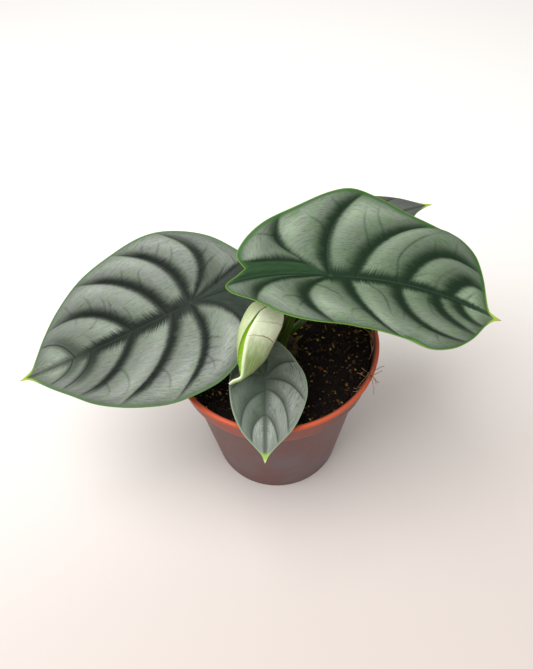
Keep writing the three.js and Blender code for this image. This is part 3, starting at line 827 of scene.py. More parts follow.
def lathe(profile: Sequence[Span], sides: int) -> Surface:
    """Turns a profile of radii and heights, which starts and ends on the axis, about Z."""
    rings = [circle(radius, height, sides) for radius, height in profile[1:-1]]
    return closed_loft(rings, [(0.0, 0.0, profile[0][1]), (0.0, 0.0, profile[-1][1])])


# The blades

FOLD_SOFTNESS = 6.0
MARGIN_BAND = 4.0
BLADE_THICKNESS = 0.8
EDGE_SWELL = 0.05

# A distance at which a vein or rib no longer shows.
FAR = 9.0

# The room that the solids take up, which no vein or pad of a blade stands out of.
ROOM_LOW = np.array([-143.78, -76.5, 0.0])
ROOM_HIGH = np.array([118.66, 77.98, 183.41])


@dataclass(frozen=True)
class HalfShape:
    """One half of a blade: its margin from the cleft to the tip, its main veins, how silvered each pad
    between them is near the stalk and near the margin, and how much wider than usual its green rim is.
    A vein is its foot on the midrib, then u and v halfway and at the margin."""

    margin: Pairs
    veins: tuple[tuple[float, float, float, float, float], ...]
    silver: Pairs
    rim: float = 1.0


@dataclass(frozen=True)
class LeafShape:
    """The sizes of one blade, in its own frame: u runs from the stalk to the tip, v across."""

    name: str
    foot: Spot
    yaw: float
    pitch: float
    roll: float
    arch: float
    base_curl: float
    fold: float
    droop: float
    wave: Spot
    puff: float
    puff_reach: float
    sag: float
    tip: Span
    cleft_half: Span
    cleft_end: Span
    halves: tuple[HalfShape, HalfShape]
    second: tuple[Pairs, ...] = ()
    narrow_band: float = 3.2
    wide_band: float = 8.0
    rib_band: float = 6.5
    margin_step: float = 0.56
    rows: int = 90
    cleft_ridge: bool = False
    band_spread: tuple[Span, ...] = ((0.0, 0.9), (0.15, 1.1), (0.5, 1.0), (0.8, 0.75), (1.0, 0.3))

    def axes(self) -> tuple[Array, Array, Array]:
        """The directions along the midrib, across it, and out of the upper face."""
        yaw, pitch, roll = (math.radians(a) for a in (self.yaw, self.pitch, self.roll))
        along = np.array([math.cos(pitch) * math.cos(yaw), math.cos(pitch) * math.sin(yaw), -math.sin(pitch)])
        level = np.array([-math.sin(yaw), math.cos(yaw), 0.0])
        across = level * math.cos(roll) + np.cross(along, level) * math.sin(roll)
        return along, across, np.cross(along, across)

    def lift(self, u: Array, v: Array) -> Array:
        """How far the blade stands from its own flat plane."""
        bend = np.where(u > 0, -self.arch, self.base_curl)
        valley = self.fold * (np.hypot(v, FOLD_SOFTNESS) - FOLD_SOFTNESS)
        height, period, phase = self.wave
        ripple = height * (v / 40) ** 2 * np.sin(2 * math.pi * u / period + phase)
        return (bend * u * u - self.droop * v * v) / 1000 + valley + ripple

    def midrib(self, u: Array) -> Array:
        """Where the midrib lies at u."""
        share = u / self.tip[0]
        return 4 * self.sag * share * (1 - share) + self.tip[1] * share


def rise(distance: Array, reach: float) -> Array:
    """Grows from 0 at no distance to 1 well past the reach."""
    return 1 - np.exp(-((distance / reach) ** 2))


def bell(distance: Array, reach: float) -> Array:
    """Falls from 1 at no distance to 0 well past the reach."""
    return np.exp(-((distance / reach) ** 2))


class Nearest:
    """Finds how far points are from a set of lines in the plane of a blade."""

    def __init__(self, lines: Sequence[Array], taper: bool) -> None:
        """Fills the search tree.

        Args:
            lines: the points of each line, from its root.
            taper: whether a line weakens away from its root, so that it seems farther away than it is.
        """
        self.weights: list[Span] = []
        self.tree = KDTree(sum(len(line) for line in lines) or 1)
        for line in lines:
            for k, (u, v) in enumerate(line):
                share = k / max(len(line) - 1, 1) if taper else 0.0
                self.tree.insert((u, v, 0.0), len(self.weights))
                self.weights.append((1 + 0.7 * share, 1.3 * max(0.0, share - 0.6) / 0.4))
        self.tree.balance()

    def distances(self, uv: Array) -> Array:
        """How far each point is from the nearest line."""
        found = np.full(len(uv), 30.0)
        if self.weights:
            for i, (u, v) in enumerate(uv):
                _, index, distance = self.tree.find((u, v, 0.0))
                stretch, shift = self.weights[index]
                found[i] = distance * stretch + shift
        return found


class HalfBlade:
    """The fan of lines that one half of a blade is woven from, and what lies along them."""

    def __init__(self, leaf: LeafShape, half: HalfShape, samples: int = 300) -> None:
        """Works out the lines, the points on them and what each point carries.

        Args:
            leaf: the blade's sizes.
            half: this half's margin and veins.
            samples: how finely the margin is searched for the veins' ends.
        """
        self.rim = half.rim
        self.edge_line = SmoothPath([leaf.cleft_end, *half.margin, leaf.tip])
        around = self.edge_line.at(np.linspace(0, 1, samples + 1))
        ends = [np.argmin(np.linalg.norm(around - np.array(vein[3:]), axis=1)) for vein in half.veins]
        shares = np.array([0, *ends, samples]) / samples
        feet = np.array([0.0, *(vein[0] for vein in half.veins), leaf.tip[0]])
        halfway = np.array([leaf.cleft_half, *(vein[1:3] for vein in half.veins), leaf.tip])
        foot = np.stack([feet, leaf.midrib(feet)], axis=1)
        end = self.edge_line.at(shares)
        bulge = halfway - (foot + end) / 2

        counts = [max(4, round(gap * self.edge_line.length / leaf.margin_step)) for gap in np.diff(shares)]
        pad = np.append(np.repeat(np.arange(len(counts)), counts), len(counts) - 1)
        q = np.append(np.concatenate([np.arange(count) / count for count in counts]), 1.0)
        t = np.arange(1, leaf.rows + 1)[None, :] / leaf.rows

        def between(values: Array) -> Array:
            """A value of each line, between those of the two veins beside it."""
            share = q if values.ndim == 1 else q[:, None]
            return values[pad] * (1 - share) + values[pad + 1] * share

        def bent(start: Array, swell: Array, stop: Array) -> Array:
            """Points along lines from the midrib to the margin."""
            way = t[..., None]
            return start[:, None] * (1 - way) + stop[:, None] * way + swell[:, None] * (4 * way * (1 - way))

        self.foot_u = between(feet)
        starts = np.stack([self.foot_u, leaf.midrib(self.foot_u)], axis=1)
        stops = self.edge_line.at(between(shares))
        self.uv = bent(starts, between(bulge), stops)
        basal, distal = (bent(foot[k], bulge[k], end[k]) for k in (pad, pad + 1))
        width = np.linalg.norm(basal - distal, axis=2)
        length = np.linalg.norm(starts - stops, axis=1)[:, None]
        self._measure(leaf, half, pad, q[:, None], t, width, length)

    def _measure(
        self, leaf: LeafShape, half: HalfShape, pad: Array, share: Array, t: Array,
        width: Array, length: Array,
    ) -> None:
        """Works out the pads' relief and what the points carry.

        Args:
            leaf, half: the sizes of the blade and of this half.
            pad: which pad each line crosses.
            share: how far across its pad each line is.
            t: how far along its line each point is.
            width, length: the pad's width at each point, and each line's length.
        """
        u, v = self.uv[..., 0], self.uv[..., 1]
        first, last = (pad == 0)[:, None], (pad == len(half.veins))[:, None]
        ridge = first & leaf.cleft_ridge
        off_vein = np.where(ridge, 1 - share, np.minimum(share, 1 - share)) * width
        from_rib = np.where(u > 0, np.abs(v - leaf.midrib(np.maximum(u, 0))), np.hypot(u, v))
        quilted = rise(off_vein, leaf.puff_reach) * rise((1 - t) * length, MARGIN_BAND)
        clear_of_rib = np.where(u > 0, from_rib, leaf.puff_reach * 2)
        self.puff = leaf.puff * quilted * rise(clear_of_rib, leaf.puff_reach)

        spread = np.interp(t, *zip(*leaf.band_spread))
        wide = np.minimum(leaf.wide_band, 0.62 * width + 0.4) * spread
        narrow = np.where(first, 1.4, np.minimum(leaf.narrow_band, 0.3 * width + 0.3) * spread)
        tipward = np.where(ridge, FAR, share * width / narrow)
        basal = np.where(last, FAR, (1 - share) * width / wide)
        rib_reach = leaf.rib_band * np.clip(1.25 - np.maximum(u, 0) / leaf.tip[0], 0.3, 1.0)
        inner, outer = (np.array(half.silver)[pad][:, k, None] for k in (0, 1))
        self.values = {
            "place": np.stack([t * length, (share - 0.5) * width, pad[:, None] + 0.0 * u], axis=-1),
            "band": np.stack([np.minimum(tipward, basal), basal, from_rib / rib_reach], axis=-1),
            "rib_mm": np.where(u > 0, from_rib, np.minimum(from_rib, FAR)),
            "vein": np.where(last & (share > 0.5), FAR, off_vein + 1.2 * np.clip((t - 0.88) / 0.12, 0, 1)),
            "silver": inner + (outer - inner) * np.clip((t - 0.55) / 0.3, 0, 1),
        }


@dataclass
class Patchwork:
    """A surface that is gathered part by part."""

    points: list[Array] = field(default_factory=list)
    carried: dict[str, list[Array]] = field(default_factory=dict)
    faces: Faces = field(default_factory=list)
    slots: list[int] = field(default_factory=list)
    count: int = 0

    def add(self, points: Array, values: dict[str, Array]) -> Array:
        """Adds points with what they carry, and gives their numbers."""
        self.points.append(points)
        for key, value in values.items():
            self.carried.setdefault(key, []).append(value)
        self.count += len(points)
        return np.arange(self.count - len(points), self.count)

    def cover(self, faces: Faces, slot: int) -> None:
        """Adds faces that wear the finish in one slot."""
        self.faces += faces
        self.slots += [slot] * len(faces)

    def surface(self) -> Surface:
        """The sound surface, with no doubled corner, flat face or unused point."""
        faces, slots = [], []
        for face, slot in zip(self.faces, self.slots):
            corners = [c for k, c in enumerate(face) if c != face[k - 1]]
            if len(set(corners)) == len(corners) > 2:
                faces.append(corners)
                slots.append(slot)
        points = np.clip(np.vstack(self.points), ROOM_LOW, ROOM_HIGH)
        used = np.unique(np.concatenate(faces))
        renumber = np.full(len(points), -1)
        renumber[used] = np.arange(len(used))
        carried = {key: np.concatenate(parts)[used] for key, parts in self.carried.items()}
        return Surface(points[used], [tuple(renumber[face].tolist()) for face in faces], carried, slots)


@dataclass
class Blade:
    """An open blade: a closed, thin, quilted sheet with its own midrib, veins and margin."""

    shape: LeafShape
    upper: Finish
    lower: Finish
    slot: str
    coarse: int = 5

    def build(self) -> None:
        """Builds and dresses the blade."""
        leaf = self.shape
        halves = [HalfBlade(leaf, half) for half in leaf.halves]
        margin = Nearest([half.edge_line.at(np.linspace(0, 1, 1500)) for half in halves], False)
        second = Nearest([self._walk(line) for line in leaf.second], True)
        work = Patchwork()
        rims = [self._face(work, halves, margin, second, below) for below in (False, True)]
        self._round_edge(work, rims)
        piece = work.surface().piece(f"{leaf.name}_leaf", self.upper.material(), self.lower.material())
        settle(piece, self.slot, f"blade_{leaf.name}")

    @staticmethod
    def _walk(line: Pairs) -> Array:
        """Closely spaced points along a traced vein."""
        path = SmoothPath(line, 200)
        return path.at(np.linspace(0, 1, max(6, int(path.length / 0.25))))

    def _face(
        self, work: Patchwork, halves: list[HalfBlade], margin: Nearest, second: Nearest, below: bool
    ) -> list[Array]:
        """Weaves the upper or the lower face.

        Args:
            work: what the face is added to.
            halves: the two halves of the blade.
            margin, second: the lines of the margin, and the finer veins.
            below: whether this is the lower face, which is woven more coarsely.

        Returns:
            The margin's point numbers of both halves.
        """
        keep = slice(self.coarse - 1, None, self.coarse) if below else slice(None)
        ribs = np.unique(np.concatenate([half.foot_u for half in halves]))
        uv = np.stack([ribs, self.shape.midrib(ribs)], axis=1)
        zero = np.zeros(len(ribs))
        own = {
            "place": np.zeros((len(ribs), 3)),
            "band": np.repeat([[1.0, 1.0, 0.0]], len(ribs), axis=0),
            "rib_mm": zero,
            "vein": zero + 0.3,
            "second": zero + FAR,
            "silver": zero + 1.0,
        }
        values = self._carry(uv, margin, second, 1.0) | own
        rib_ids = work.add(self._raise(uv, zero, values, below), values)
        rim: list[Array] = []
        first_line = None
        for half in halves:
            uv = half.uv[:, keep].reshape(-1, 2)
            own = {key: value[:, keep].reshape(len(uv), *value.shape[2:])
                   for key, value in half.values.items()}
            values = self._carry(uv, margin, second, half.rim) | own
            ids = work.add(self._raise(uv, half.puff[:, keep].ravel(), values, below), values)
            ids = ids.reshape(len(half.uv), -1)
            if first_line is None:
                first_line = ids[0].copy()
            ids[0], ids[-1] = first_line, rib_ids[-1]
            work.cover(self._weave(ribs, rib_ids, half.foot_u, ids), int(below))
            rim.append(ids[:, -1])
        return rim

    def _carry(self, uv: Array, margin: Nearest, second: Nearest, rim: float) -> dict[str, Array]:
        """What points carry by their place in the blade alone."""
        edge = margin.distances(uv)
        return {
            "second": second.distances(uv),
            "edge": edge,
            "green_rim": edge / rim,
            "from_tip": self.shape.tip[0] - uv[:, 0],
            "heart": np.hypot(uv[:, 0], uv[:, 1]),
        }

    def _raise(self, uv: Array, puff: Array, values: dict[str, Array], below: bool) -> Array:
        """Puts points of the blade's plane in space, with the relief of the upper or the lower face.

        Args:
            uv: the points in the blade's plane.
            puff: how far the pads puff up there.
            values: what the points carry.
            below: whether this is the lower face.

        Returns:
            The points in space.
        """
        leaf = self.shape
        height = leaf.lift(uv[:, 0], uv[:, 1]) + puff
        quiet = np.clip(values["edge"] / 3, 0, 1)
        groove, second = bell(values["vein"], 0.9), bell(values["second"], 0.8)
        rib = bell(values["rib_mm"], 1.1) * np.clip(values["from_tip"] / 20, 0, 1)
        if below:
            thickness = BLADE_THICKNESS - 0.45 * np.exp(-values["edge"] / 1.2)
            height = height - thickness - quiet * (0.45 * groove + 0.25 * second + 0.9 * rib)
        else:
            place = values["place"]
            small = 0.5 * np.sin(place[:, 0] * 0.9 + place[:, 2] * 2) * np.sin(place[:, 1] * 0.55 + 1.0)
            swell = 0.14 * small * leaf.puff / 2 * rise(values["vein"], 2.0)
            sink = 0.14 * groove + 0.18 * second * leaf.puff / 2 + 0.22 * rib
            height = height + quiet * (swell - sink * np.clip(values["heart"] / 8, 0.1, 1))
        along, across, outward = leaf.axes()
        return np.array(leaf.foot) + uv[:, :1] * along + uv[:, 1:] * across + height[:, None] * outward

    @staticmethod
    def _weave(ribs: Array, rib_ids: Array, feet: Array, ids: Array) -> Faces:
        """Joins the midrib to the first row of points, and the rows to each other.

        Args:
            ribs: u of the points on the midrib.
            rib_ids: their numbers.
            feet: u of each line's foot.
            ids: the numbers of the points on each line.

        Returns:
            The faces.
        """
        faces: Faces = []
        places = np.append(feet + np.arange(len(feet)) * 1e-7, math.inf)
        marks = np.append(ribs, math.inf)
        i = j = 0
        while i + 1 < len(ribs) or j + 1 < len(feet):
            if marks[i + 1] <= places[j + 1]:
                faces.append((int(rib_ids[i]), int(rib_ids[i + 1]), int(ids[j, 0])))
                i += 1
            else:
                faces.append((int(rib_ids[i]), int(ids[j + 1, 0]), int(ids[j, 0])))
                j += 1
        return faces + quads(ids)

    def _round_edge(self, work: Patchwork, rims: list[list[Array]]) -> None:
        """Closes the margin with a rounded wall between the upper and the lower face.

        Args:
            work: the blade so far.
            rims: for each face, the margin's point numbers of both halves.
        """
        points = np.vstack(work.points)
        outward = self.shape.axes()[2]
        made: dict[int, int] = {}
        middles: list[Array] = []
        faces: Faces = []
        for top, bottom in zip(*rims):
            side = np.cross(np.gradient(points[top], axis=0), outward)
            side /= np.maximum(np.linalg.norm(side, axis=1), 1e-9)[:, None]
            if np.sum(side * (points[top] - points[top].mean(axis=0))) < 0:
                side = -side
            for k, (a, b) in enumerate(zip(top.tolist(), bottom.tolist())):
                if a not in made:
                    made[a] = work.count + len(made)
                    middles.append((points[a] + points[b]) / 2 + side[k] * EDGE_SWELL)
            wall = np.stack([top, [made[a] for a in top.tolist()], bottom])
            faces += [(a, d, c, b) for a, b, c, d in quads(wall)]
        copied = list(made)
        carried = {key: np.concatenate(parts)[copied] for key, parts in work.carried.items()}
        work.add(np.array(middles), carried)
        work.cover(faces, 0)


LARGE_LEFT = LeafShape(
    name="left", foot=(-43.2, -1.9, 143.9), yaw=192.2, pitch=19, roll=-25, arch=0.8, base_curl=-2,
    fold=0.12, droop=1.5, wave=(0.8, 46, 0.4), puff=2.1, puff_reach=6, sag=1.9, tip=(110, -2.6),
    cleft_half=(-17, 1.5), cleft_end=(-33, 3),
    halves=(
        HalfShape(
            margin=(
                (-37, -1), (-38, -9), (-33, -17), (-23, -29), (-10, -38), (3, -43), (18, -44.5), (34, -43),
                (55, -37), (73, -28), (86, -18), (95, -9.5), (100.3, -5), (105.6, -3.5),
            ),
            veins=(
                (0, -18, -4.5, -37.5, -11), (0, -13, -21, 4, -43), (1, 7, -25, 32, -43),
                (14, 30, -24, 58, -36), (35, 56, -18, 84, -20), (72, 79, -10.5, 91, -13.5),
            ),
            silver=((0, 0), (0.5, 0.75), (1, 1), (1, 1), (1, 1), (1, 1), (0.9, 0.9)),
        ),
        HalfShape(
            margin=(
                (-37, 8), (-36, 17), (-31, 25), (-23, 33), (-12, 40), (-1, 45), (12, 46.5), (28, 45.5),
                (44, 41), (57, 35.5), (70, 28), (82, 18), (91, 10.5), (98, 4), (102, 0.4), (106.2, -1.7),
            ),
            veins=(
                (0, -17.5, 10, -24, 32), (1, 2, 27, 28, 45.5), (11, 26, 23, 57, 35.5),
                (36, 55, 17.5, 80, 20), (62, 70, 9.5, 88, 13), (74, 80, 5.5, 94, 8),
            ),
            silver=((0, 0.1), (1, 1), (1, 1), (1, 1), (1, 1), (1, 1), (0.9, 0.9)),
            rim=1.5,
        ),
    ),
    second=(
        ((53.4, -16.8), (52.1, -22.8), (53.2, -26.2), (56.4, -28.7)),
        ((47.1, -12.7), (44.4, -17.4), (44.1, -21.1), (45.8, -25.7)),
        ((35.7, 0), (34.2, -1), (33.1, -6.6), (33.7, -11.1), (35.8, -14.5)),
        ((65.2, -20.7), (65.3, -24.3), (67.2, -27.6), (71.1, -30.4)),
        ((41.3, -7.4), (39.8, -12.5), (41.2, -16)),
        ((52.5, 17.2), (48, 17.6), (45.8, 20.9), (45.3, 24.4), (46.2, 27.6), (49, 30.1), (52.7, 32)),
        ((60.3, 19.3), (57.9, 22.6), (57.8, 25.9), (60, 28.6), (62.7, 29.7)),
        ((28.6, 24.8), (24.3, 29.4), (23.8, 33.6), (26, 38.1), (29.8, 41.8)),
        ((31.6, -25.2), (28.7, -30.2), (28, -34.3)),
        ((9.5, -28.6), (5.6, -32.5), (3.4, -36.2), (3.2, -40)),
        ((5.1, -22.1), (0.4, -25.4), (-1.6, -29.2), (-2.2, -35.7)),
        ((15.8, -33.9), (12.8, -37.8), (12.1, -41.8)),
        ((1.4, 26), (-5.2, 28), (-9.1, 29.4)),
        ((5.3, 31.5), (2.5, 33.9), (-1.8, 34.4), (-5.5, 36.4), (-8, 40.1)),
        ((50.8, -15.3), (52, -13.3), (55.8, -10.4), (61.7, -10.2)),
        ((58.2, 0.8), (58, -2.8), (60.3, -7.2), (64.1, -10.8)),
        ((62.9, -20.2), (63.6, -16.8), (64.6, -13.4)),
        ((-11.8, -13.4), (-19.6, -16.4), (-26.2, -19.1)),
        ((-13, -20.3), (-18.8, -22.4), (-21.6, -25.9)),
        ((-16.7, -4.1), (-22, -8.8), (-28.1, -12.6)),
        ((2.8, 28.3), (-0.7, 32.6), (-0.8, 37.1), (1.7, 41.4)),
        ((-0.5, 21.5), (-6.3, 22.8), (-12, 26.6)),
        ((22.5, -17.5), (21.2, -20.9), (19.3, -26.7), (14.3, -28)),
        ((32.8, 27.4), (35.9, 32), (40.4, 33.8)),
        ((45.5, -11.4), (41.2, -16), (42.6, -22.3)),
    ),
)

LARGE_RIGHT = LeafShape(
    name="right", foot=(29.5, -5.4, 163.9), yaw=-7.8, pitch=13, roll=2, arch=0.8, base_curl=0, fold=0.42,
    droop=1, wave=(0.8, 52, 2), puff=2.3, puff_reach=6, sag=5.2, tip=(94, -0.2), cleft_half=(-22, -2),
    cleft_end=(-43, -8.5), cleft_ridge=True, rib_band=5.2,
    halves=(
        HalfShape(
            margin=(
                (-46, -15), (-51, -27), (-48, -31), (-36, -33), (-24, -38), (-9, -40), (9, -37), (24, -36),
                (35, -38), (46, -42), (58, -37), (72, -24), (83, -9), (87.2, -4.2), (90, -1.9),
            ),
            veins=(
                (0, -29, -8.6, -51, -27), (0, -28.5, -12.6, -36, -33), (0, -12.5, -20, 1, -38.5),
                (9, 17, -20, 34, -38), (36, 45, -22, 69, -27), (57, 62, -10, 76, -19),
                (69, 74, -6, 82, -9.5),
            ),
            # The shares a little under 1 on the middle pads are painted shade on those pads.
            silver=((0, 0), (0.3, 1), (1, 1), (0.92, 0.92), (1, 1), (1, 1), (1, 1), (0.9, 0.9)),
        ),
        HalfShape(
            margin=(
                (-48, 0), (-46, 9), (-38, 20.5), (-24, 31.7), (-7, 43), (6, 48), (22, 47), (39, 41.3),
                (53, 38.5), (67, 36.8), (76.5, 30.7), (82, 20.5), (85, 10), (86.4, 5), (88, 2),
                (90.3, 0.5),
            ),
            veins=(
                (0, -18.5, 3.9, -46.3, -4.3), (0, -26, 10, -30, 27.5), (0, -3, 25, 12, 47.5),
                (13, 26, 26, 53, 38.5), (39, 56, 24, 82, 20.5), (64, 73, 14, 84.5, 12),
            ),
            # The shares a little under 1 on the middle pads are painted shade on those pads.
            silver=((0, 0), (1, 1), (1, 1), (0.88, 0.88), (0.9, 0.9), (1, 1), (0.9, 0.9)),
            rim=1.9,
        ),
    ),
    second=(
        ((35, 5.4), (34.2, 11.4), (33.7, 15.1), (36.2, 20.5),
         (41.6, 26.6), (47.2, 30.7), (54.2, 34), (64.9, 36.9)),
        ((26.1, 26.1), (24.8, 27.8), (21.6, 32.1), (20, 36.8), (20.7, 41.2), (23, 43.9)),
        ((54.5, 23.4), (53, 26.6), (51.8, 31.7)),
        ((19.7, 18.8), (18, 20.2), (15, 25.4), (13.3, 30.9), (13.3, 36), (14.2, 43.5)),
        ((-30, 15.4), (-33.2, 14), (-40.5, 12.1), (-45.6, 8.7)),
        ((-12.2, -22.8), (-19.4, -24.8), (-23.3, -26.7), (-24.5, -32.1)),
        ((-6.6, -9.8), (-3.7, -11.6), (-0.1, -14.3), (3.9, -16.8), (5, -21.9)),
        ((18, -21), (14.1, -23.6), (10.2, -25.9), (8.5, -30.2), (9.5, -35.5)),
        ((38.9, -12), (37.6, -15.5), (35.9, -20.1), (34.4, -28.1)),
        ((50, -25.5), (46.5, -25.2), (41.5, -29.3), (39.5, -33.5)),
        ((52.6, 5.1), (52.5, 0.8), (51.3, -6.3), (52.6, -13.6), (56.7, -18), (62.6, -18.4)),
        ((57.3, 1.2), (57, -5.5), (58.8, -12.5), (63.7, -18), (69.2, -20.8)),
        ((17.8, 2.9), (21.5, -2.7), (26, -6.9), (28.2, -13.8), (29.1, -22.6), (33.7, -29.7)),
        ((-5.6, 22.8), (-10.2, 25.4), (-15.2, 26.8), (-18.1, 29.8)),
        ((64.9, 25.3), (65, 30.2), (64, 35)),
        ((54, 4.6), (55.3, 6.9), (56.9, 11.2), (62.7, 16.6), (71.7, 23.2)),
        ((71.5, 3.6), (76.3, 8.6), (81.3, 13)),
        ((1.1, 34.8), (-1.1, 36), (-5.5, 39), (-7, 42.6)),
        ((40.1, 7.6), (47.5, 11.7), (53.5, 14.1)),
        ((26.1, -31.2), (21.9, -29.4), (18.2, -29.3)),
        ((50.5, -31.7), (50.2, -35.4), (51.7, -38.2)),
        ((-12.3, -24.1), (-15.9, -31.1), (-16.7, -35.7)),
    ),
)

SMALL_FRONT = LeafShape(
    name="front", foot=(-5.4, -33.9, 118.2), yaw=-94, pitch=14, roll=0, arch=2, base_curl=-2, fold=0.15,
    droop=2, wave=(0.3, 30, 1), puff=0.9, puff_reach=4, sag=0, tip=(45, 0.5), cleft_half=(-9, 0),
    cleft_end=(-19, 0), narrow_band=1.6, wide_band=4.2, rib_band=3.6, margin_step=0.5, rows=50,
    halves=(
        HalfShape(
            margin=(
                (-21, -5), (-16, -11.5), (-8, -17), (1, -19), (10, -18.7), (20, -16.5), (30, -11.5),
                (37, -5), (41, -1.3), (43.2, -0.3),
            ),
            veins=(
                (0, -8, -6.5, -15, -12.5), (0, 0, -10, 9, -18.8), (7, 15, -9.5, 29, -12),
                (20, 26, -5.5, 36, -6),
            ),
            # This half's low silver shares are painted shade that falls across it.
            silver=((0.15, 0.25), (0.2, 0.3), (0.2, 0.3), (0.36, 0.5), (0.95, 1)),
        ),
        HalfShape(
            margin=(
                (-21, 5), (-16, 11), (-9, 16), (-1, 20.5), (8, 22), (17, 20), (28, 14.5), (37, 6),
                (41, 2.5), (43.2, 1.3),
            ),
            veins=(
                (0, -7.5, 7, -8.5, 16.5), (1, 3, 12, 14, 21), (6, 14, 9.5, 31, 12), (20, 26, 5, 36, 7),
            ),
            silver=((0.5, 0.7), (0.8, 1), (1, 1), (1, 1), (1, 1)),
        ),
    ),
    second=(
        ((5.4, 15.1), (9.1, 12.2), (12.7, 9.9)),
        ((15.1, 0.2), (15.1, 2.2), (18.7, 4.6), (24.7, 7.1)),
        ((21.8, -3), (18.9, -5.5), (17.1, -8.5)),
        ((-1.1, -4.8), (4, -5.9), (7.9, -8.8)),
        ((-8.9, 12), (-4.2, 14.5), (0.3, 15.2)),
        ((13.8, 0), (16.4, -3.8), (18.3, -6.1)),
    ),
)

SMALL_BACK = LeafShape(
    name="back", foot=(38, 45, 144), yaw=29, pitch=5, roll=0, arch=1, base_curl=-1, fold=0.2, droop=1.5,
    wave=(0.4, 40, 0), puff=1.1, puff_reach=4.5, sag=0.5, tip=(70, -3), cleft_half=(-11, 0),
    cleft_end=(-22, 0), narrow_band=1.3, wide_band=3.0, rib_band=2.6, margin_step=0.6, rows=50,
    halves=(
        HalfShape(
            margin=(
                (-26, -7), (-20, -16), (-8, -22), (8, -24), (25, -20), (40, -14), (50, -9.3), (55, -6.6),
                (62, -4.4),
            ),
            veins=(
                (0, -12, -8, -18, -17.5), (1, 1, -13, 12, -23.5), (10, 20, -12, 36, -16),
                (28, 39, -7, 50, -9),
            ),
            silver=((0.5, 0.7), (0.8, 1), (1, 1), (1, 1), (1, 1)),
        ),
        HalfShape(
            margin=(
                (-26, 7), (-20, 16), (-8, 23), (8, 26), (25, 21), (40, 15), (53, 8.5), (60, 3.2),
                (65, -0.6),
            ),
            veins=(
                (0, -12, 8, -18, 18), (1, 1, 14, 12, 25.5), (10, 20, 13, 36, 17), (28, 39, 7.5, 52, 9),
            ),
            silver=((0.5, 0.7), (0.8, 1), (1, 1), (1, 1), (1, 1)),
        ),
    ),
)

LEFT_SILVER = SilverFinish(
    name="left_blade_upper", silver=tone(137, 143, 135), tint=tone(131, 144, 124), dark=tone(27, 35, 28),
    deep=tone(12, 17, 13), tip_fade=0.6, margin_fade=0.55, crown_highlight=0.6, texture=1.2,
    plain=tone(42, 53, 43), light=tone(170, 178, 166), vein_line=tone(92, 100, 88),
    margin=tone(76, 102, 68), edge_line=tone(90, 124, 66), margin_width=1.2, cusp_reach=16.0,
    end_shade=0.12,
)

RIGHT_SILVER = SilverFinish(
    name="right_blade_upper", silver=tone(123, 134, 118), tint=tone(114, 135, 104), dark=tone(24, 45, 26),
    deep=tone(8, 22, 10), crown_highlight=0.62, texture=1.2, margin_shade=0.4, basal_shade=0.5,
    plain=tone(44, 72, 44), light=tone(160, 176, 152), vein_line=tone(112, 112, 116),
    margin=tone(50, 90, 40), edge_line=tone(108, 142, 52), margin_width=1.2, line_strength=0.12,
)

SMALL_SILVER = SilverFinish(
    name="front_blade_upper", silver=tone(144, 149, 142), tint=tone(134, 141, 130), dark=tone(54, 64, 54),
    deep=tone(40, 52, 41), plain=tone(62, 76, 60), light=tone(182, 189, 178),
    vein_line=tone(104, 116, 100), margin=tone(112, 128, 107), edge_line=tone(140, 156, 130),
    cusp=tone(140, 170, 78), point=tone(196, 204, 150), margin_width=0.8, cusp_reach=7.0, contrast=0.72,
    texture=1.6, heart_reach=15.0, roughness=0.5,
)

# The back blade's greys are darker than the other blades' to paint the shade that it sits in.
BACK_SILVER = SilverFinish(
    name="back_blade_upper", silver=tone(92, 94, 91), tint=tone(84, 89, 83), dark=tone(58, 60, 60),
    deep=tone(38, 40, 40), plain=tone(62, 68, 62), light=tone(120, 124, 118), vein_line=tone(92, 96, 89),
    margin=tone(60, 88, 44), edge_line=tone(84, 112, 58), point=tone(186, 190, 120), margin_width=0.9,
    contrast=0.8, feather=0.6,
)


# The stalks


@dataclass
class Stalk:
    """A leaf stalk, from its socket in the corm to the blade that it carries, with a channel down its
    inner side."""

    name: str
    base: Span
    radius: Span
    sheath: float
    route: Spots
    end: Array
    inner: Array
    seat: Array
    socket_heights: Span = (93.35, 99.0)
    sides: int = 32
    steps: int = 90
    groove_depth: float = 0.2
    groove_spread: float = 0.55
    flare: float = 0.16
    flare_reach: float = 2.4

    def build(self, finish: Material) -> None:
        """Builds the stalk and dresses it in its finish."""
        socket = [(*self.base, height) for height in self.socket_heights]
        path = SmoothPath([*socket, *self.route, tuple(self.end)])
        shares = np.linspace(0, 1, self.steps + 1)
        aims = path.tangent(shares)
        aims[shares < 0.06] = (0.0, 0.0, 1.0)
        angles = turns_round(self.sides)
        around = np.where(angles > math.pi, angles - 2 * math.pi, angles)
        grooved = 1 - self.groove_depth * bell(around, self.groove_spread)
        points, places = [], []
        for share, centre, aim in zip(shares, path.at(shares), aims):
            side, front = crosswise(aim, self.inner)
            radius = self.radius[0] * (1 - share) + self.radius[1] * share
            sheathed = 1 + self.sheath * max(0.0, 1 - share * 2.2) * np.abs(np.sin(angles))
            flared = 1 + self.flare * bell((1 - share) * path.length, self.flare_reach)
            reach = (radius * grooved * sheathed * flared)[:, None]
            ring = centre + reach * (np.cos(angles)[:, None] * front + np.sin(angles)[:, None] * side)
            short = (self.end - ring) @ self.seat
            short = short if share == 1 else np.minimum(short, 0)
            ring = ring + (short / (aim @ self.seat))[:, None] * aim
            points.append(ring)
            along = np.full(self.sides, share * path.length)
            places.append(np.stack([along, around * radius, ring[:, 2]], axis=1))
        piece = closed_loft(points, place=places).piece(f"{self.name}_stalk", finish)
        settle(piece, "stalk", f"stalk_{self.name}")


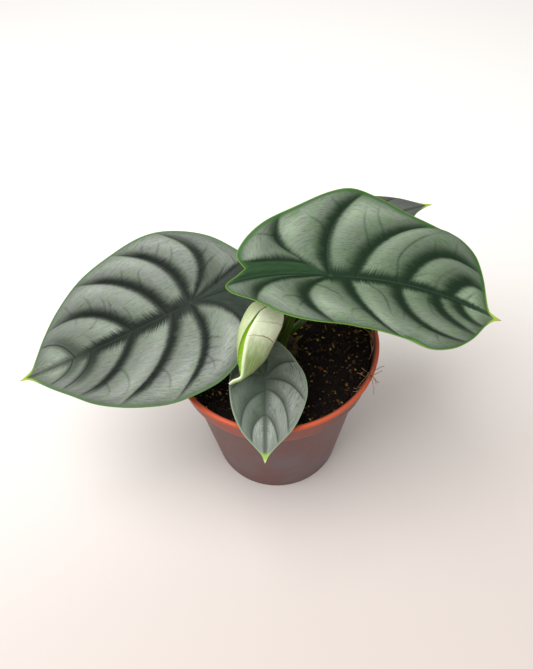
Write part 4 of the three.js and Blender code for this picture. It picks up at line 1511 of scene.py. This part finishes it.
@dataclass
class RolledLeaf:
    """The new leaf, still rolled, hanging from the top of its stalk to a hooked tip.
    Each place is x, y, z, the radius across, how far the slit is open, how deep it is, and its turn."""

    places: tuple[tuple[float, float, float, float, float, float, float], ...] = (
        (2.4, -9.4, 156.5, 2.2, 0.04, 0.1, -16),
        (-1.8, -16.1, 158.1, 1.8, 0.06, 0.2, -6),
        (-1.8, -20.9, 158.8, 6.9, 0.5, 0.8, -1),
        (-4.4, -25.3, 157.7, 9.6, 0.85, 1.3, 20),
        (-7.6, -30.1, 154.4, 9.7, 1.4, 1.8, 28),
        (-9.8, -34.4, 151, 9.1, 2.0, 2.3, 36),
        (-11.6, -39, 147.7, 7.9, 2.5, 2.4, 42),
        (-13.4, -42.5, 144.9, 6, 2.4, 2.0, 47),
        (-15, -45.5, 142.6, 3.8, 1.5, 1.2, 50),
        (-17.3, -48.8, 140.7, 1.2, 0.2, 0.3, 51),
        (-21.2, -50.1, 139.8, 1.1, 0.06, 0.1, 51),
        (-23.3, -50.9, 139, 0.6, 0.03, 0.05, 51),
    )
    finish: Finish = RolledLeafFinish("rolled_leaf_skin")
    front: Spot = (0.0, -0.6, 0.8)
    flatness: float = 0.86
    lap: float = 0.09
    lap_spread: float = 0.5
    sides: int = 110
    steps: int = 150

    def build(self) -> None:
        """Builds and dresses the rolled leaf."""
        table = np.array(self.places)
        path = SmoothPath(table[:, :3])
        shares = np.linspace(0, 1, self.steps + 1)
        centres = path.point(shares)
        aims = path.point(np.clip(shares + 1e-4, 0, 1)) - path.point(np.clip(shares - 1e-4, 0, 1))
        walked = np.concatenate([[0.0], np.cumsum(np.linalg.norm(np.diff(centres, axis=0), axis=1))])
        points, places, inside, lip = [], [], [], []
        for centre, aim, length, sizes in zip(centres, aims, walked, SmoothPath(table[:, 3:]).point(shares)):
            radius, opening, depth = np.maximum(sizes[:3], 0.03)
            side, front = crosswise(aim / np.linalg.norm(aim), np.array(self.front))
            across, out, hollow, rim = self._ring(radius, opening, depth, math.radians(sizes[3]))
            points.append(centre + across[:, None] * side + self.flatness * out[:, None] * front)
            turn = np.arctan2(across, out) * radius
            places.append(np.stack([np.full(len(turn), length), turn, np.zeros(len(turn))], axis=1))
            inside.append(hollow)
            lip.append(rim)
        skin = self.finish.material()
        piece = closed_loft(points, place=places, inside=inside, lip=lip).piece("rolled_leaf", skin)
        settle(piece, "new_blade", "blade_new")

    def _ring(
        self, radius: float, opening: float, depth: float, seam: float
    ) -> tuple[Array, Array, Array, Array]:
        """One ring of the roll, from the covered flap round to the edge over it, and down into the slit.

        Args:
            radius: the roll's radius there.
            opening: half the slit's width.
            depth: how deep the slit is.
            seam: the angle at which the slit lies.

        Returns:
            How far each point is to the side and to the front, how far it is in the slit, and how far it is
            on its edge, where a painted highlight goes.
        """
        gap = opening / radius
        turns = np.linspace(gap, 2 * math.pi - gap, self.sides)
        over_edge = np.exp(-(2 * math.pi - turns) / self.lap_spread)
        reach = radius * (1 + self.lap * (over_edge - np.exp(-turns / self.lap_spread)))
        across, out = reach * np.sin(seam + turns), reach * np.cos(seam + turns)
        low, high = radius * (1 - self.lap), radius * (1 + self.lap)
        thick = min(0.9, radius * 0.2)
        slit = np.array([
            (-opening + 0.5 * thick, high - 0.25 * thick, 0.0, 1.0),
            (-opening + 0.6 * thick, high - 0.7 * thick, 0.1, 0.8),
            (-opening + 0.3 * thick, high - thick, 0.5, 0.3),
            (-opening - 0.3 * thick, high - thick - 0.5 * depth, 1.0, 0.0),
            (-0.2 * opening, low - depth, 1.0, 0.0),
            (0.7 * opening, low - 0.7 * depth, 1.0, 0.0),
            (0.95 * opening, low - 0.3 * depth, 1.0, 0.0),
            (opening, low - 0.1 * depth, 0.7, 0.3),
        ])
        left, up = slit[:, 0], slit[:, 1]
        slit_across = left * math.cos(seam) + up * math.sin(seam)
        slit_out = up * math.cos(seam) - left * math.sin(seam)
        hollow = np.concatenate([np.zeros(self.sides), slit[:, 2]])
        # How much of the painted highlight on the lip each point takes.
        rim = np.concatenate([bell((2 * math.pi - gap - turns) * radius, 0.9), slit[:, 3]])
        return np.concatenate([across, slit_across]), np.concatenate([out, slit_out]), hollow, rim


@dataclass
class ScaleLeaf:
    """A small dry scale leaf at the foot of the stalks."""

    finish: Finish = StalkFinish(
        "dry_scale_skin", green=tone(120, 122, 44), light=tone(160, 158, 78), shade=tone(82, 84, 30)
    )
    foot: Spot = (11.2, 0.4, 98.6)
    height: float = 9.0
    width: float = 5.0
    thickness: float = 0.9
    lean: float = 0.55
    steps: int = 40
    sides: int = 40

    def build(self) -> None:
        """Builds and dresses the scale leaf."""
        angles = turns_round(self.sides)
        points, places = [], []
        for share in np.linspace(0, 1, self.steps + 1):
            half = self.width / 2 * (1 - share**2) + 0.2
            thick = self.thickness * (1 - 0.5 * share) * 0.7
            x = thick * np.cos(angles) - 0.35 * half * np.sin(angles) ** 2 + 0.3
            x += self.lean * self.height * share**2
            ring = np.array(self.foot) + np.stack(
                [x, half * np.sin(angles), np.full(self.sides, self.height * share)], axis=1
            )
            points.append(ring)
            along = np.full(self.sides, share * self.height)
            places.append(np.stack([along, np.sin(angles) * half, ring[:, 2]], axis=1))
        piece = closed_loft(points, place=places).piece("dry_scale", self.finish.material())
        settle(piece, "scale_leaf", "scale_leaf")


# What grows along a path or is strewn over a surface


class GeometrySheet(NodeSheet):
    """A Geometry Nodes tree with named inputs."""

    def __init__(self, name: str, sizes: Sequence[str], counts: Sequence[str] = ()) -> None:
        """Makes the tree.

        Args:
            name: the tree's name.
            sizes: the names of the inputs that take a number.
            counts: the names of the inputs that take a whole number.
        """
        super().__init__(bpy.data.node_groups.new(name, "GeometryNodeTree"))
        face = self.tree.interface
        face.new_socket(name="Geometry", in_out="INPUT", socket_type="NodeSocketGeometry")
        kinds = dict.fromkeys(sizes, "NodeSocketFloat") | dict.fromkeys(counts, "NodeSocketInt")
        self.keys = {
            key: face.new_socket(name=key, in_out="INPUT", socket_type=kind).identifier
            for key, kind in kinds.items()
        }
        face.new_socket(name="Geometry", in_out="OUTPUT", socket_type="NodeSocketGeometry")
        self.start = self.add("NodeGroupInput")

    def given(self, name: str) -> Wire:
        """The wire of a named input."""
        return Wire(self, self.start.outputs[name])

    def random(self, low: Spot, high: Spot, seed: int) -> Wire:
        """A random vector for each point."""
        sockets = {0: low, 1: high, "Seed": seed}
        return self.wire("FunctionNodeRandomValue", {"data_type": "FLOAT_VECTOR"}, sockets)

    def random_value(self, low: Number, high: Number, seed: Number) -> Wire:
        """A random number for each point."""
        sockets = {2: low, 3: high, "Seed": seed}
        return self.wire("FunctionNodeRandomValue", {"data_type": "FLOAT"}, sockets, 1)

    def scatter(self, thing: Wire, turn: Wire, scale: Wire) -> Wire:
        """Copies of a thing at random spots on what the tree is given.

        Args:
            thing: what is copied.
            turn: how each copy is turned.
            scale: how large each copy is.

        Returns:
            The copies.
        """
        spread = {"Mesh": self.given("Geometry")}
        spread.update((name, self.given(name)) for name in ("Density", "Seed"))
        spots = self.wire("GeometryNodeDistributePointsOnFaces", {"distribute_method": "RANDOM"}, spread)
        copies = {"Points": spots, "Instance": thing, "Rotation": turn, "Scale": scale}
        return self.wire("GeometryNodeInstanceOnPoints", None, copies)

    def tubes(self, curves: Wire, sides: int) -> Wire:
        """Closed tubes along curves, as thick as the tree's input says."""
        size = {"Resolution": sides, "Radius": self.given("Thickness")}
        ring = self.wire("GeometryNodeCurvePrimitiveCircle", None, size, "Curve")
        along = {"Curve": curves, "Profile Curve": ring, "Fill Caps": True}
        return self.wire("GeometryNodeCurveToMesh", None, along)

    def realised(self, geometry: Wire) -> Wire:
        """Copies turned into real geometry."""
        return self.wire("GeometryNodeRealizeInstances", None, {"Geometry": geometry})

    def jitter(self, geometry: Wire, scale: float, amount: Number) -> Wire:
        """Moves points by noise.

        Args:
            geometry: what is moved.
            scale: the noise's scale, in metres.
            amount: how far points move, in metres.

        Returns:
            The moved geometry.
        """
        here = self.wire("GeometryNodeInputPosition")
        sockets = {"Vector": here, "Scale": scale, "Detail": 1.0}
        cloud = self.wire("ShaderNodeTexNoise", None, sockets, "Color")
        centred = self.vector_maths("SUBTRACT", {0: cloud, 1: (0.5, 0.5, 0.5)})
        push = self.vector_maths("SCALE", {0: centred, "Scale": amount})
        return self.wire("GeometryNodeSetPosition", None, {"Geometry": geometry, "Offset": push})

    def finish(self, geometry: Wire, material: Material) -> None:
        """Ends the tree in real, painted geometry."""
        made = {"Geometry": self.realised(geometry), "Material": material}
        self.add("NodeGroupOutput", None, {"Geometry": self.wire("GeometryNodeSetMaterial", None, made)})

    def run(self, name: str, source: Mesh, values: dict[str, Any]) -> Piece:
        """Runs the tree on a mesh and keeps the result as a plain piece.

        Args:
            name: the piece's name.
            source: the mesh that the tree starts from.
            values: the value of each named input.

        Returns:
            The piece, with no modifier.
        """
        carrier = show(f"{name}_source", source)
        modifier = carrier.modifiers.new(name, "NODES")
        modifier.node_group = self.tree
        for key, value in values.items():
            modifier[self.keys[key]] = value
        graph = bpy.context.evaluated_depsgraph_get()
        mesh = bpy.data.meshes.new_from_object(carrier.evaluated_get(graph))
        mesh.name = name
        carrier.modifiers.remove(modifier)
        bpy.data.objects.remove(carrier)
        smooth(mesh)
        return show(name, mesh)


@dataclass(frozen=True)
class LooseBits:
    """One kind of loose bit: how many there are to the square metre, their smallest and largest size,
    how flat and how lumpy they are, the seed of their places, and their shades."""

    name: str
    density: float
    smallest: float
    largest: float
    flatness: float
    lumpiness: float
    seed: int
    shades: Stops


class Litter(Enum):
    """What is strewn over the soil."""

    PEAT = LooseBits(
        "peat_crumbs", 270000.0, 0.3, 1.0, 0.75, 0.6, 5,
        shades(
            (0.0, 8, 5, 4), (0.45, 20, 12, 8), (0.72, 44, 27, 16), (0.88, 86, 60, 30), (1.0, 150, 124, 62)
        ),
    )
    BARK = LooseBits(
        "bark_chips", 15000.0, 0.8, 2.1, 0.42, 0.9, 8,
        shades((0.0, 14, 9, 7), (0.5, 36, 21, 13), (0.85, 70, 42, 22), (1.0, 112, 78, 42)),
    )
    GRAIN = LooseBits(
        "pale_grains", 4200.0, 0.3, 0.7, 0.9, 0.3, 17,
        shades((0.0, 84, 64, 34), (0.6, 132, 106, 62), (1.0, 196, 176, 132)),
    )


@dataclass
class Soil:
    """The potting mix: an uneven top with crumbs, bark, pale grains and fibres strewn over it."""

    finish: Finish = SoilFinish("damp_peat")
    fibre_finish: Finish = ThreadFinish("soil_fibre", tan=tone(98, 70, 38), rust=tone(66, 36, 18))
    top: float = 98.0
    side: Pairs = ((39.05, 1.75), (50.85, 86.5), (54.45, 89.5))
    lump_height: float = 1.3
    corm_radius: float = 15.0
    corm_depth: float = 14.0
    top_radius: float = 55.75
    sides: int = 180
    rings: int = 70
    fibre_density: float = 5000.0
    fibre_length: float = 9.0
    fibre_thickness: float = 0.1
    fibre_bend: float = 4.5

    def lump(self, x: Array, y: Array) -> Array:
        """How far the soil's top is from level, in broad and fine lumps."""
        broad = 0.6 * np.sin(0.19 * x + 1.3) * np.cos(0.17 * y - 0.4)
        fine = 0.4 * np.sin(0.53 * x - 0.47 * y + 2) + 0.35 * np.sin(0.61 * y + 0.33 * x)
        crumbly = 0.35 * np.sin(1.9 * x + 0.7 * y) * np.sin(1.6 * y - 0.8 * x + 1.1)
        return self.lump_height * (broad + fine) + crumbly

    def _top_ring(self, radius: float, sides: int) -> Array:
        """A ring of points on the uneven top."""
        ring = circle(radius, self.top, sides)
        ring[:, 2] += self.lump(ring[:, 0], ring[:, 1])
        return ring

    def build(self) -> None:
        """Builds and dresses the body of the soil."""
        rings = [circle(radius, height, self.sides) for radius, height in self.side]
        radii = np.linspace(self.corm_radius, self.top_radius, self.rings)[::-1]
        rings += [self._top_ring(radius, self.sides) for radius in radii]
        rings.append(circle(self.corm_radius, self.top - self.corm_depth, self.sides))
        settle(closed_loft(rings).piece("potting_soil", self.finish.material()), "soil", "soil")

    def _top_mesh(self, name: str, inner: float, outer: float, rows: int = 40, sides: int = 96) -> Mesh:
        """The soil's top alone, as a sheet to strew things over."""
        points = np.vstack([self._top_ring(radius, sides) for radius in np.linspace(inner, outer, rows)])
        return Surface(points, quads(closed_rows(rows, sides))).mesh(name, [], outward=False)

    def strew(self, kind: Litter) -> None:
        """Strews one kind of litter over the soil, as one piece.

        Args:
            kind: what is strewn.
        """
        bits = kind.value
        sheet = GeometrySheet(bits.name, ("Density", "Smallest", "Largest", "Lumpiness"), ("Seed",))
        ball = sheet.wire("GeometryNodeMeshIcoSphere", None, {"Radius": 1.0, "Subdivisions": 2})
        size = sheet.random_value(sheet.given("Smallest"), sheet.given("Largest"), sheet.given("Seed"))
        squash = sheet.random((0.55, 0.7, 0.5 * bits.flatness), (1.0, 1.25, bits.flatness), 3)
        turn = sheet.random((-0.5, -0.5, 0.0), (0.5, 0.5, 6.28), 4)
        lumps = sheet.scatter(ball, turn, sheet.vector_maths("SCALE", {0: squash, "Scale": size}))
        shaded = sheet.wire(
            "GeometryNodeStoreNamedAttribute",
            {"data_type": "FLOAT", "domain": "INSTANCE"},
            {"Geometry": lumps, "Name": "shade", "Value": sheet.random_value(0.0, 1.0, 9)},
        )
        finish = CrumbFinish(kind.name.lower(), bits.shades).material()
        sheet.finish(sheet.jitter(sheet.realised(shaded), 900.0, sheet.given("Lumpiness")), finish)
        source = self._top_mesh(f"{bits.name}_top", self.corm_radius - 1.5, self.top_radius - 0.9)
        values = {
            "Density": bits.density,
            "Smallest": bits.smallest * MM,
            "Largest": bits.largest * MM,
            "Lumpiness": bits.lumpiness * bits.largest * MM,
            "Seed": bits.seed,
        }
        settle(sheet.run(bits.name, source, values), "soil")

    def lay_fibres(self) -> None:
        """Lays short bent fibres on the soil, as one piece."""
        sheet = GeometrySheet("fibres", ("Density", "Length", "Thickness", "Bend"), ("Seed",))
        reach = {"Start": (0.0, 0.0, 0.0), "End": sheet.vector(sheet.given("Length"))}
        straight = sheet.wire("GeometryNodeCurvePrimitiveLine", None, reach)
        line = sheet.wire("GeometryNodeResampleCurve", None, {"Curve": straight, "Count": 9})
        turn = sheet.random((-0.25, -0.35, 0.0), (0.25, 0.2, 6.28), 5)
        threads = sheet.realised(sheet.scatter(line, turn, sheet.random_value(0.3, 1.0, 6)))
        bent = sheet.jitter(threads, 260.0, sheet.given("Bend"))
        sheet.finish(sheet.tubes(bent, 5), self.fibre_finish.material())
        values = {
            "Density": self.fibre_density,
            "Length": self.fibre_length * MM,
            "Thickness": self.fibre_thickness * MM,
            "Bend": self.fibre_bend * MM,
            "Seed": 23,
        }
        source = self._top_mesh("fibres_top", self.corm_radius, self.top_radius - 4)
        settle(sheet.run("fibres", source, values), "soil")


@dataclass
class Corm:
    """The top of the corm that the stalks grow from."""

    finish: Finish = CormFinish("corm_skin")
    radius: float = 14.65
    low: float = 84.35
    top: float = 98.8
    dome: float = 0.6
    dome_radius: float = 9.65
    sides: int = 96

    def build(self) -> None:
        """Builds and dresses the corm."""
        foot = [(0.0, self.low), (self.radius - 2, self.low), (self.radius, self.low + 2)]
        steps = ((0, 2.8), (0.5, 1.9), (1.2, 1.4))
        shoulder = [(self.radius - inward, self.top - down) for inward, down in steps]
        crown = [(r, self.top - self.dome * r / self.dome_radius) for r in (11.5, 9.65, 7.5, 5.0, 2.5, 0.8)]
        body = lathe([*foot, *shoulder, *crown, (0.0, self.top)], self.sides)
        x, y, z = body.points.T
        ripple = 0.3 * np.sin(np.hypot(x, y) * 2.4) + 0.22 * np.sin(x * 1.7 + 1) * np.sin(y * 1.9)
        body.points[:, 2] += np.where(z > self.top - 2.5, ripple, 0.0)
        settle(body.piece("crown_corm", self.finish.material()), "corm", "corm")


def straight(start: Span, stop: Span, parts: int) -> list[Span]:
    """The places that divide a straight line into equal parts."""
    shares = [k / parts for k in range(1, parts)]
    return [(start[0] + (stop[0] - start[0]) * s, start[1] + (stop[1] - start[1]) * s) for s in shares]


@dataclass
class Pot:
    """The thin nursery pot with its stepped collar, rolled lip and drain holes."""

    finish: Finish = PotFinish("terracotta_plastic")
    rim: float = 60.0
    height: float = 106.0
    base: float = 40.6
    body: float = 52.4
    shoulder: float = 56.2
    collar: float = 58.4
    floor: float = 1.4
    inner_base: float = 39.4
    inner_body: float = 51.2
    sides: int = 192
    drains: int = 8
    drain_radius: float = 4.5
    drain_circle: float = 27.0

    def profile(self) -> list[Span]:
        """The pot's section, from the middle of its underside round to the middle of its floor."""
        outer = [(self.base - 1.2, 0.0), (self.base - 0.5, 0.12), (self.base - 0.1, 0.5), (self.base, 1.0)]
        outer += straight((self.base, 1.0), (self.body, 86.5), 16)
        outer += [(self.body, 86.3), (self.body + 0.25, 86.8), (54.3, 87.4), (55.7, 87.7)]
        outer += [(self.shoulder, 88.2), *straight((self.shoulder, 88.2), (self.collar, 102.7), 5)]
        outer += [(self.collar, 102.6), (self.collar + 0.2, 103.0), (59.4, 103.2), (59.85, 103.6)]
        outer += [(self.rim, 104.2), (self.rim, 105.0), (59.85, 105.5), (59.5, 105.85), (59.0, self.height)]
        outer += [(58.0, self.height), (57.55, 105.85), (57.3, 105.4), (57.2, 104.8)]
        inner = [(57.1, 103.0), (56.2, 96.6), (55.2, 89.6), (54.9, 89.0), (54.0, 88.5), (51.6, 87.2)]
        inner += [(self.inner_body, 86.4), *straight((self.inner_body, 86.4), (self.inner_base, 2.2), 12)]
        inner += [(self.inner_base, 2.0), (39.0, 1.5), (38.4, self.floor)]
        flat = [(r, 0.0) for r in (1.0, 12.0, 21.0, 33.0, 37.5)]
        back = [(r, self.floor) for r in (37.0, 33.0, 21.0, 12.0, 1.0)]
        return [(0.0, 0.0), *flat, *outer, *inner, *back, (0.0, self.floor)]

    def build(self) -> None:
        """Builds and dresses the pot."""
        finish = self.finish.material()
        body = lathe(self.profile(), self.sides).mesh("pot_body", [finish])
        sheet = GeometrySheet("drain_holes", ("Radius", "Circle", "Depth"), ("Count",))
        round_size = {"Vertices": sheet.given("Count"), "Radius": sheet.given("Circle")}
        spots = sheet.wire(
            "GeometryNodeMeshToPoints", None, {"Mesh": sheet.wire("GeometryNodeMeshCircle", None, round_size)}
        )
        post_size = {"Vertices": 40, "Radius": sheet.given("Radius"), "Depth": sheet.given("Depth")}
        post = sheet.wire("GeometryNodeMeshCylinder", None, post_size)
        posts = sheet.wire("GeometryNodeInstanceOnPoints", None, {"Points": spots, "Instance": post})
        quarter = (0.0, 0.0, math.pi / self.drains)
        turned = sheet.wire("GeometryNodeTransform", None, {"Geometry": posts, "Rotation": quarter})
        both = {"Mesh 1": sheet.given("Geometry"), "Mesh 2": turned}
        cut = sheet.wire("GeometryNodeMeshBoolean", {"operation": "DIFFERENCE", "solver": "EXACT"}, both)
        sheet.finish(cut, finish)
        values = {
            "Count": self.drains,
            "Radius": self.drain_radius * MM,
            "Circle": self.drain_circle * MM,
            "Depth": 8 * MM,
        }
        piece = sheet.run("nursery_pot", body, values)
        self._carry(piece.data)
        piece.data.set_sharp_from_angle(angle=math.radians(50))
        settle(piece, "pot_plastic", "pot")

    def _carry(self, mesh: Mesh) -> None:
        """Stores each point's radius and height, and whether it is on the inner wall."""
        flat = np.empty(len(mesh.vertices) * 3, np.float32)
        mesh.vertices.foreach_get("co", flat)
        x, y, height = flat.reshape(-1, 3).T / MM
        radius = np.hypot(x, y)
        wall = ((0, self.base), (86.5, self.body), (88, self.shoulder), (103, self.collar), (106, 59.5))
        inner = (np.interp(height, *zip(*wall)) - radius > 0.7) & (height > 1.0)
        layer = mesh.attributes.new("place", "FLOAT_VECTOR", "POINT")
        layer.data.foreach_set("vector", np.stack([radius, height, inner], axis=1).astype(np.float32).ravel())


@dataclass
class RimRoots:
    """Fine roots that have grown up the inner wall and over the lip at the right.
    Each place is an angle round the pot in degrees, a radius and a height."""

    finish: Finish = ThreadFinish("dry_root")
    paths: tuple[Spots, ...] = (
        (
            (-40, 49, 98), (-37, 55.5, 99.5), (-33, 57, 103.6), (-30, 59, 106.5),
            (-27, 61.5, 107.2), (-24, 63.8, 106.8),
        ),
        (
            (-38, 50, 98.3), (-34, 55.8, 100), (-31, 57.2, 104), (-29, 59, 106.9),
            (-29, 61.6, 106.4), (-31, 63.6, 104),
        ),
        (
            (-24, 50, 98.2), (-26, 55.5, 99.8), (-28, 57.2, 104), (-29.5, 59, 106.7),
            (-32, 62, 105.6), (-35, 64.5, 101),
        ),
        (
            (-20, 52, 98.3), (-24, 56, 101), (-27, 57.4, 104.6), (-29, 59.3, 107),
            (-30.5, 62.3, 106.8), (-30, 64.6, 105),
        ),
        (
            (-34, 54, 98.5), (-29, 56.2, 102.5), (-26, 57.6, 105.5), (-25, 59.8, 106.9),
            (-23, 62, 107.5), (-21, 64, 107.2),
        ),
        ((12, 54.2, 98.3), (8, 56.4, 101.4), (4, 57, 104.4), (-1, 56.6, 103), (-6, 55.9, 99.6)),
        ((6, 53.4, 98.4), (3, 56.3, 101.8), (-2, 56.9, 103.6), (-8, 56.2, 101), (-13, 55.2, 98.8)),
        (
            (14, 50, 98.6), (10, 53.4, 100.6), (6, 56.4, 103.6), (2, 57.3, 105.2),
            (-3, 57.1, 104.4), (-9, 56.4, 101.4),
        ),
        ((18, 48, 98.4), (13, 51.4, 100.2), (7, 54.8, 101.4), (2, 56.2, 102.4), (-5, 55.8, 100)),
    )
    thickness: float = 0.19
    crook: float = 1.2
    steps: int = 34

    def build(self) -> None:
        """Builds and dresses the roots."""
        lines = []
        for path in self.paths:
            spots = [(r * math.cos(math.radians(a)), r * math.sin(math.radians(a)), z) for a, r, z in path]
            lines.append(SmoothPath(spots, 200).at(np.linspace(0, 1, self.steps)))
        starts = [n * self.steps + k for n in range(len(lines)) for k in range(self.steps - 1)]
        mesh = bpy.data.meshes.new("rim_roots_lines")
        mesh.from_pydata((np.vstack(lines) * MM).tolist(), [(k, k + 1) for k in starts], [])
        sheet = GeometrySheet("rim_roots", ("Thickness", "Crook"))
        curves = sheet.wire("GeometryNodeMeshToCurve", None, {"Mesh": sheet.given("Geometry")})
        crooked = sheet.jitter(curves, 320.0, sheet.given("Crook"))
        sheet.finish(sheet.tubes(crooked, 7), self.finish.material())
        values = {"Thickness": self.thickness * MM, "Crook": self.crook * MM}
        settle(sheet.run("rim_roots", mesh, values), "soil")


# The studio


@dataclass(frozen=True)
class Panel:
    """A square soft light: its place, its side, and its power in watts."""

    name: str
    place: Spot
    side: float
    power: float


@dataclass
class Studio:
    """The pale floor, the soft lights and the camera, at the photograph's viewing angle."""

    camera_place: Spot = (-3.94, -240.03, 425.12)
    ahead: Spot = (0.0, 0.6069, -0.7948)
    roll: float = -2.81
    focal_px: float = 700.0
    frame_height_px: float = 669.0
    sensor_width: float = 36.0
    floor_reach: float = 2600.0
    sky: Colour = (1.0, 0.98, 0.965, 1.0)
    sky_strength: float = 0.62
    lit_place: Spot = (0.0, 0.0, 110.0)
    panels: tuple[Panel, ...] = (
        Panel("window", (-250.0, -120.0, 900.0), 700.0, 8.7),
        Panel("fill", (260.0, -620.0, 620.0), 600.0, 0.3),
    )

    def build(self) -> None:
        """Builds the floor, the lights and the camera."""
        self._floor()
        self._sky()
        for panel in self.panels:
            self._light(panel)
        self._camera()

    def _floor(self) -> None:
        """A wide pale plane under the pot."""
        corners = np.array([(-1, -1, 0), (1, -1, 0), (1, 1, 0), (-1, 1, 0)]) * self.floor_reach
        finish = FloorFinish("floor_white").material()
        show("floor", Surface(corners, [(0, 1, 2, 3)]).mesh("floor", [finish], outward=False))

    def _sky(self) -> None:
        """An even light from all round."""
        world = bpy.data.worlds.new("studio_sky")
        world.use_nodes = True
        backdrop = world.node_tree.nodes["Background"]
        backdrop.inputs["Color"].default_value = self.sky
        backdrop.inputs["Strength"].default_value = self.sky_strength
        bpy.context.scene.world = world

    def _light(self, panel: Panel) -> None:
        """One soft light that faces the plant."""
        lamp = bpy.data.lights.new(panel.name, "AREA")
        lamp.size = panel.side * MM
        lamp.energy = panel.power
        light = bpy.data.objects.new(panel.name, lamp)
        light.location = Vector(panel.place) * MM
        aim = Vector(self.lit_place) * MM - light.location
        light.rotation_euler = aim.to_track_quat("-Z", "Y").to_euler()
        bpy.context.scene.collection.objects.link(light)

    def _camera(self) -> None:
        """The camera, as fitted to the pot's rim in the photograph."""
        ahead = Vector(self.ahead).normalized()
        level = ahead.cross(Vector((0, 0, 1))).normalized()
        upright = level.cross(ahead)
        turn = math.radians(self.roll)
        right = level * math.cos(turn) + upright * math.sin(turn)
        up = upright * math.cos(turn) - level * math.sin(turn)
        lens = bpy.data.cameras.new("camera")
        lens.sensor_width = self.sensor_width
        lens.lens = self.focal_px / self.frame_height_px * self.sensor_width
        lens.clip_start, lens.clip_end = 0.01, 20.0
        camera = bpy.data.objects.new("camera", lens)
        axes = Matrix((right, up, -ahead)).transposed().to_4x4()
        camera.matrix_world = Matrix.Translation(Vector(self.camera_place) * MM) @ axes
        bpy.context.scene.collection.objects.link(camera)
        bpy.context.scene.camera = camera
        bpy.context.scene.view_settings.view_transform = "Standard"


# The whole object


@dataclass
class Plant:
    """The whole plant: its blades, stalks, rolled leaf and scale leaf."""

    blades: tuple[tuple[LeafShape, SilverFinish, str], ...] = (
        (LARGE_LEFT, LEFT_SILVER, "large_blade"),
        (LARGE_RIGHT, RIGHT_SILVER, "large_blade"),
        (SMALL_FRONT, SMALL_SILVER, "small_blade"),
        (SMALL_BACK, BACK_SILVER, "small_blade"),
    )
    flesh: Finish = StalkFinish("stalk_flesh")

    def build(self) -> None:
        """Builds every part of the plant."""
        for shape, finish, slot in self.blades:
            Blade(shape, finish, UndersideFinish(f"{shape.name}_blade_lower"), slot).build()
        flesh = self.flesh.material()
        for stalk in self._stalks():
            stalk.build(flesh)
        RolledLeaf().build()
        ScaleLeaf().build()

    @staticmethod
    def _stalks() -> list[Stalk]:
        """The five stalks, each with where it ends and how that end is cut."""

        def under(shape: LeafShape) -> tuple[Array, Array, Array]:
            """The end of a stalk that carries an open blade, its inner side and its cut."""
            along, _, outward = shape.axes()
            return np.array(shape.foot) - outward * (BLADE_THICKNESS + 0.1), along, outward

        bud = SmoothPath([place[:3] for place in RolledLeaf.places])
        aim = bud.tangent(0.0)[0]
        hung = (bud.at(0.0)[0] + aim * 0.4, np.array([-0.2, -1.0, 0.0]), aim)
        right = ((5.6, 1, 105), (7.8, 1.6, 113), (10.9, 1.2, 126), (18.5, -2, 146))
        left = ((-8.6, -1, 104), (-11.5, -0.4, 114), (-19, 1, 126), (-31, 0.5, 136))
        new = ((-1.5, -0.9, 105), (-0.8, -2.2, 121), (1, -4.4, 140), (2.2, -6.6, 150))
        front = ((0.4, -8, 102.5), (-1, -14, 106), (-3.6, -25, 110))
        back = ((6.2, 6.9, 102), (12.4, 6, 108), (19.5, 8.5, 115), (29, 22, 128))
        return [
            Stalk("right", (5, 0.8), (3.4, 2.5), 0.12, right, *under(LARGE_RIGHT)),
            Stalk("left", (-8, -1), (3.2, 2.4), 0.12, left, *under(LARGE_LEFT)),
            Stalk("new", (-1.6, -0.6), (2.3, 1.9), 0.0, new, *hung),
            Stalk("front", (0.6, -7), (2.3, 1.7), 0.1, front, *under(SMALL_FRONT)),
            Stalk("back", (4.4, 7.2), (2.1, 1.5), 0.1, back, *under(SMALL_BACK)),
        ]


def fill_pot() -> None:
    """Builds the pot, the soil with its litter, the corm and the roots at the rim."""
    Pot().build()
    soil = Soil()
    soil.build()
    for kind in Litter:
        soil.strew(kind)
    soil.lay_fibres()
    Corm().build()
    RimRoots().build()


def main() -> None:
    """Builds the studio, the pot and the plant in order."""
    logging.basicConfig(level=logging.INFO, format="%(message)s")
    Studio().build()
    fill_pot()
    Plant().build()


if __name__ == "__main__":
    main()
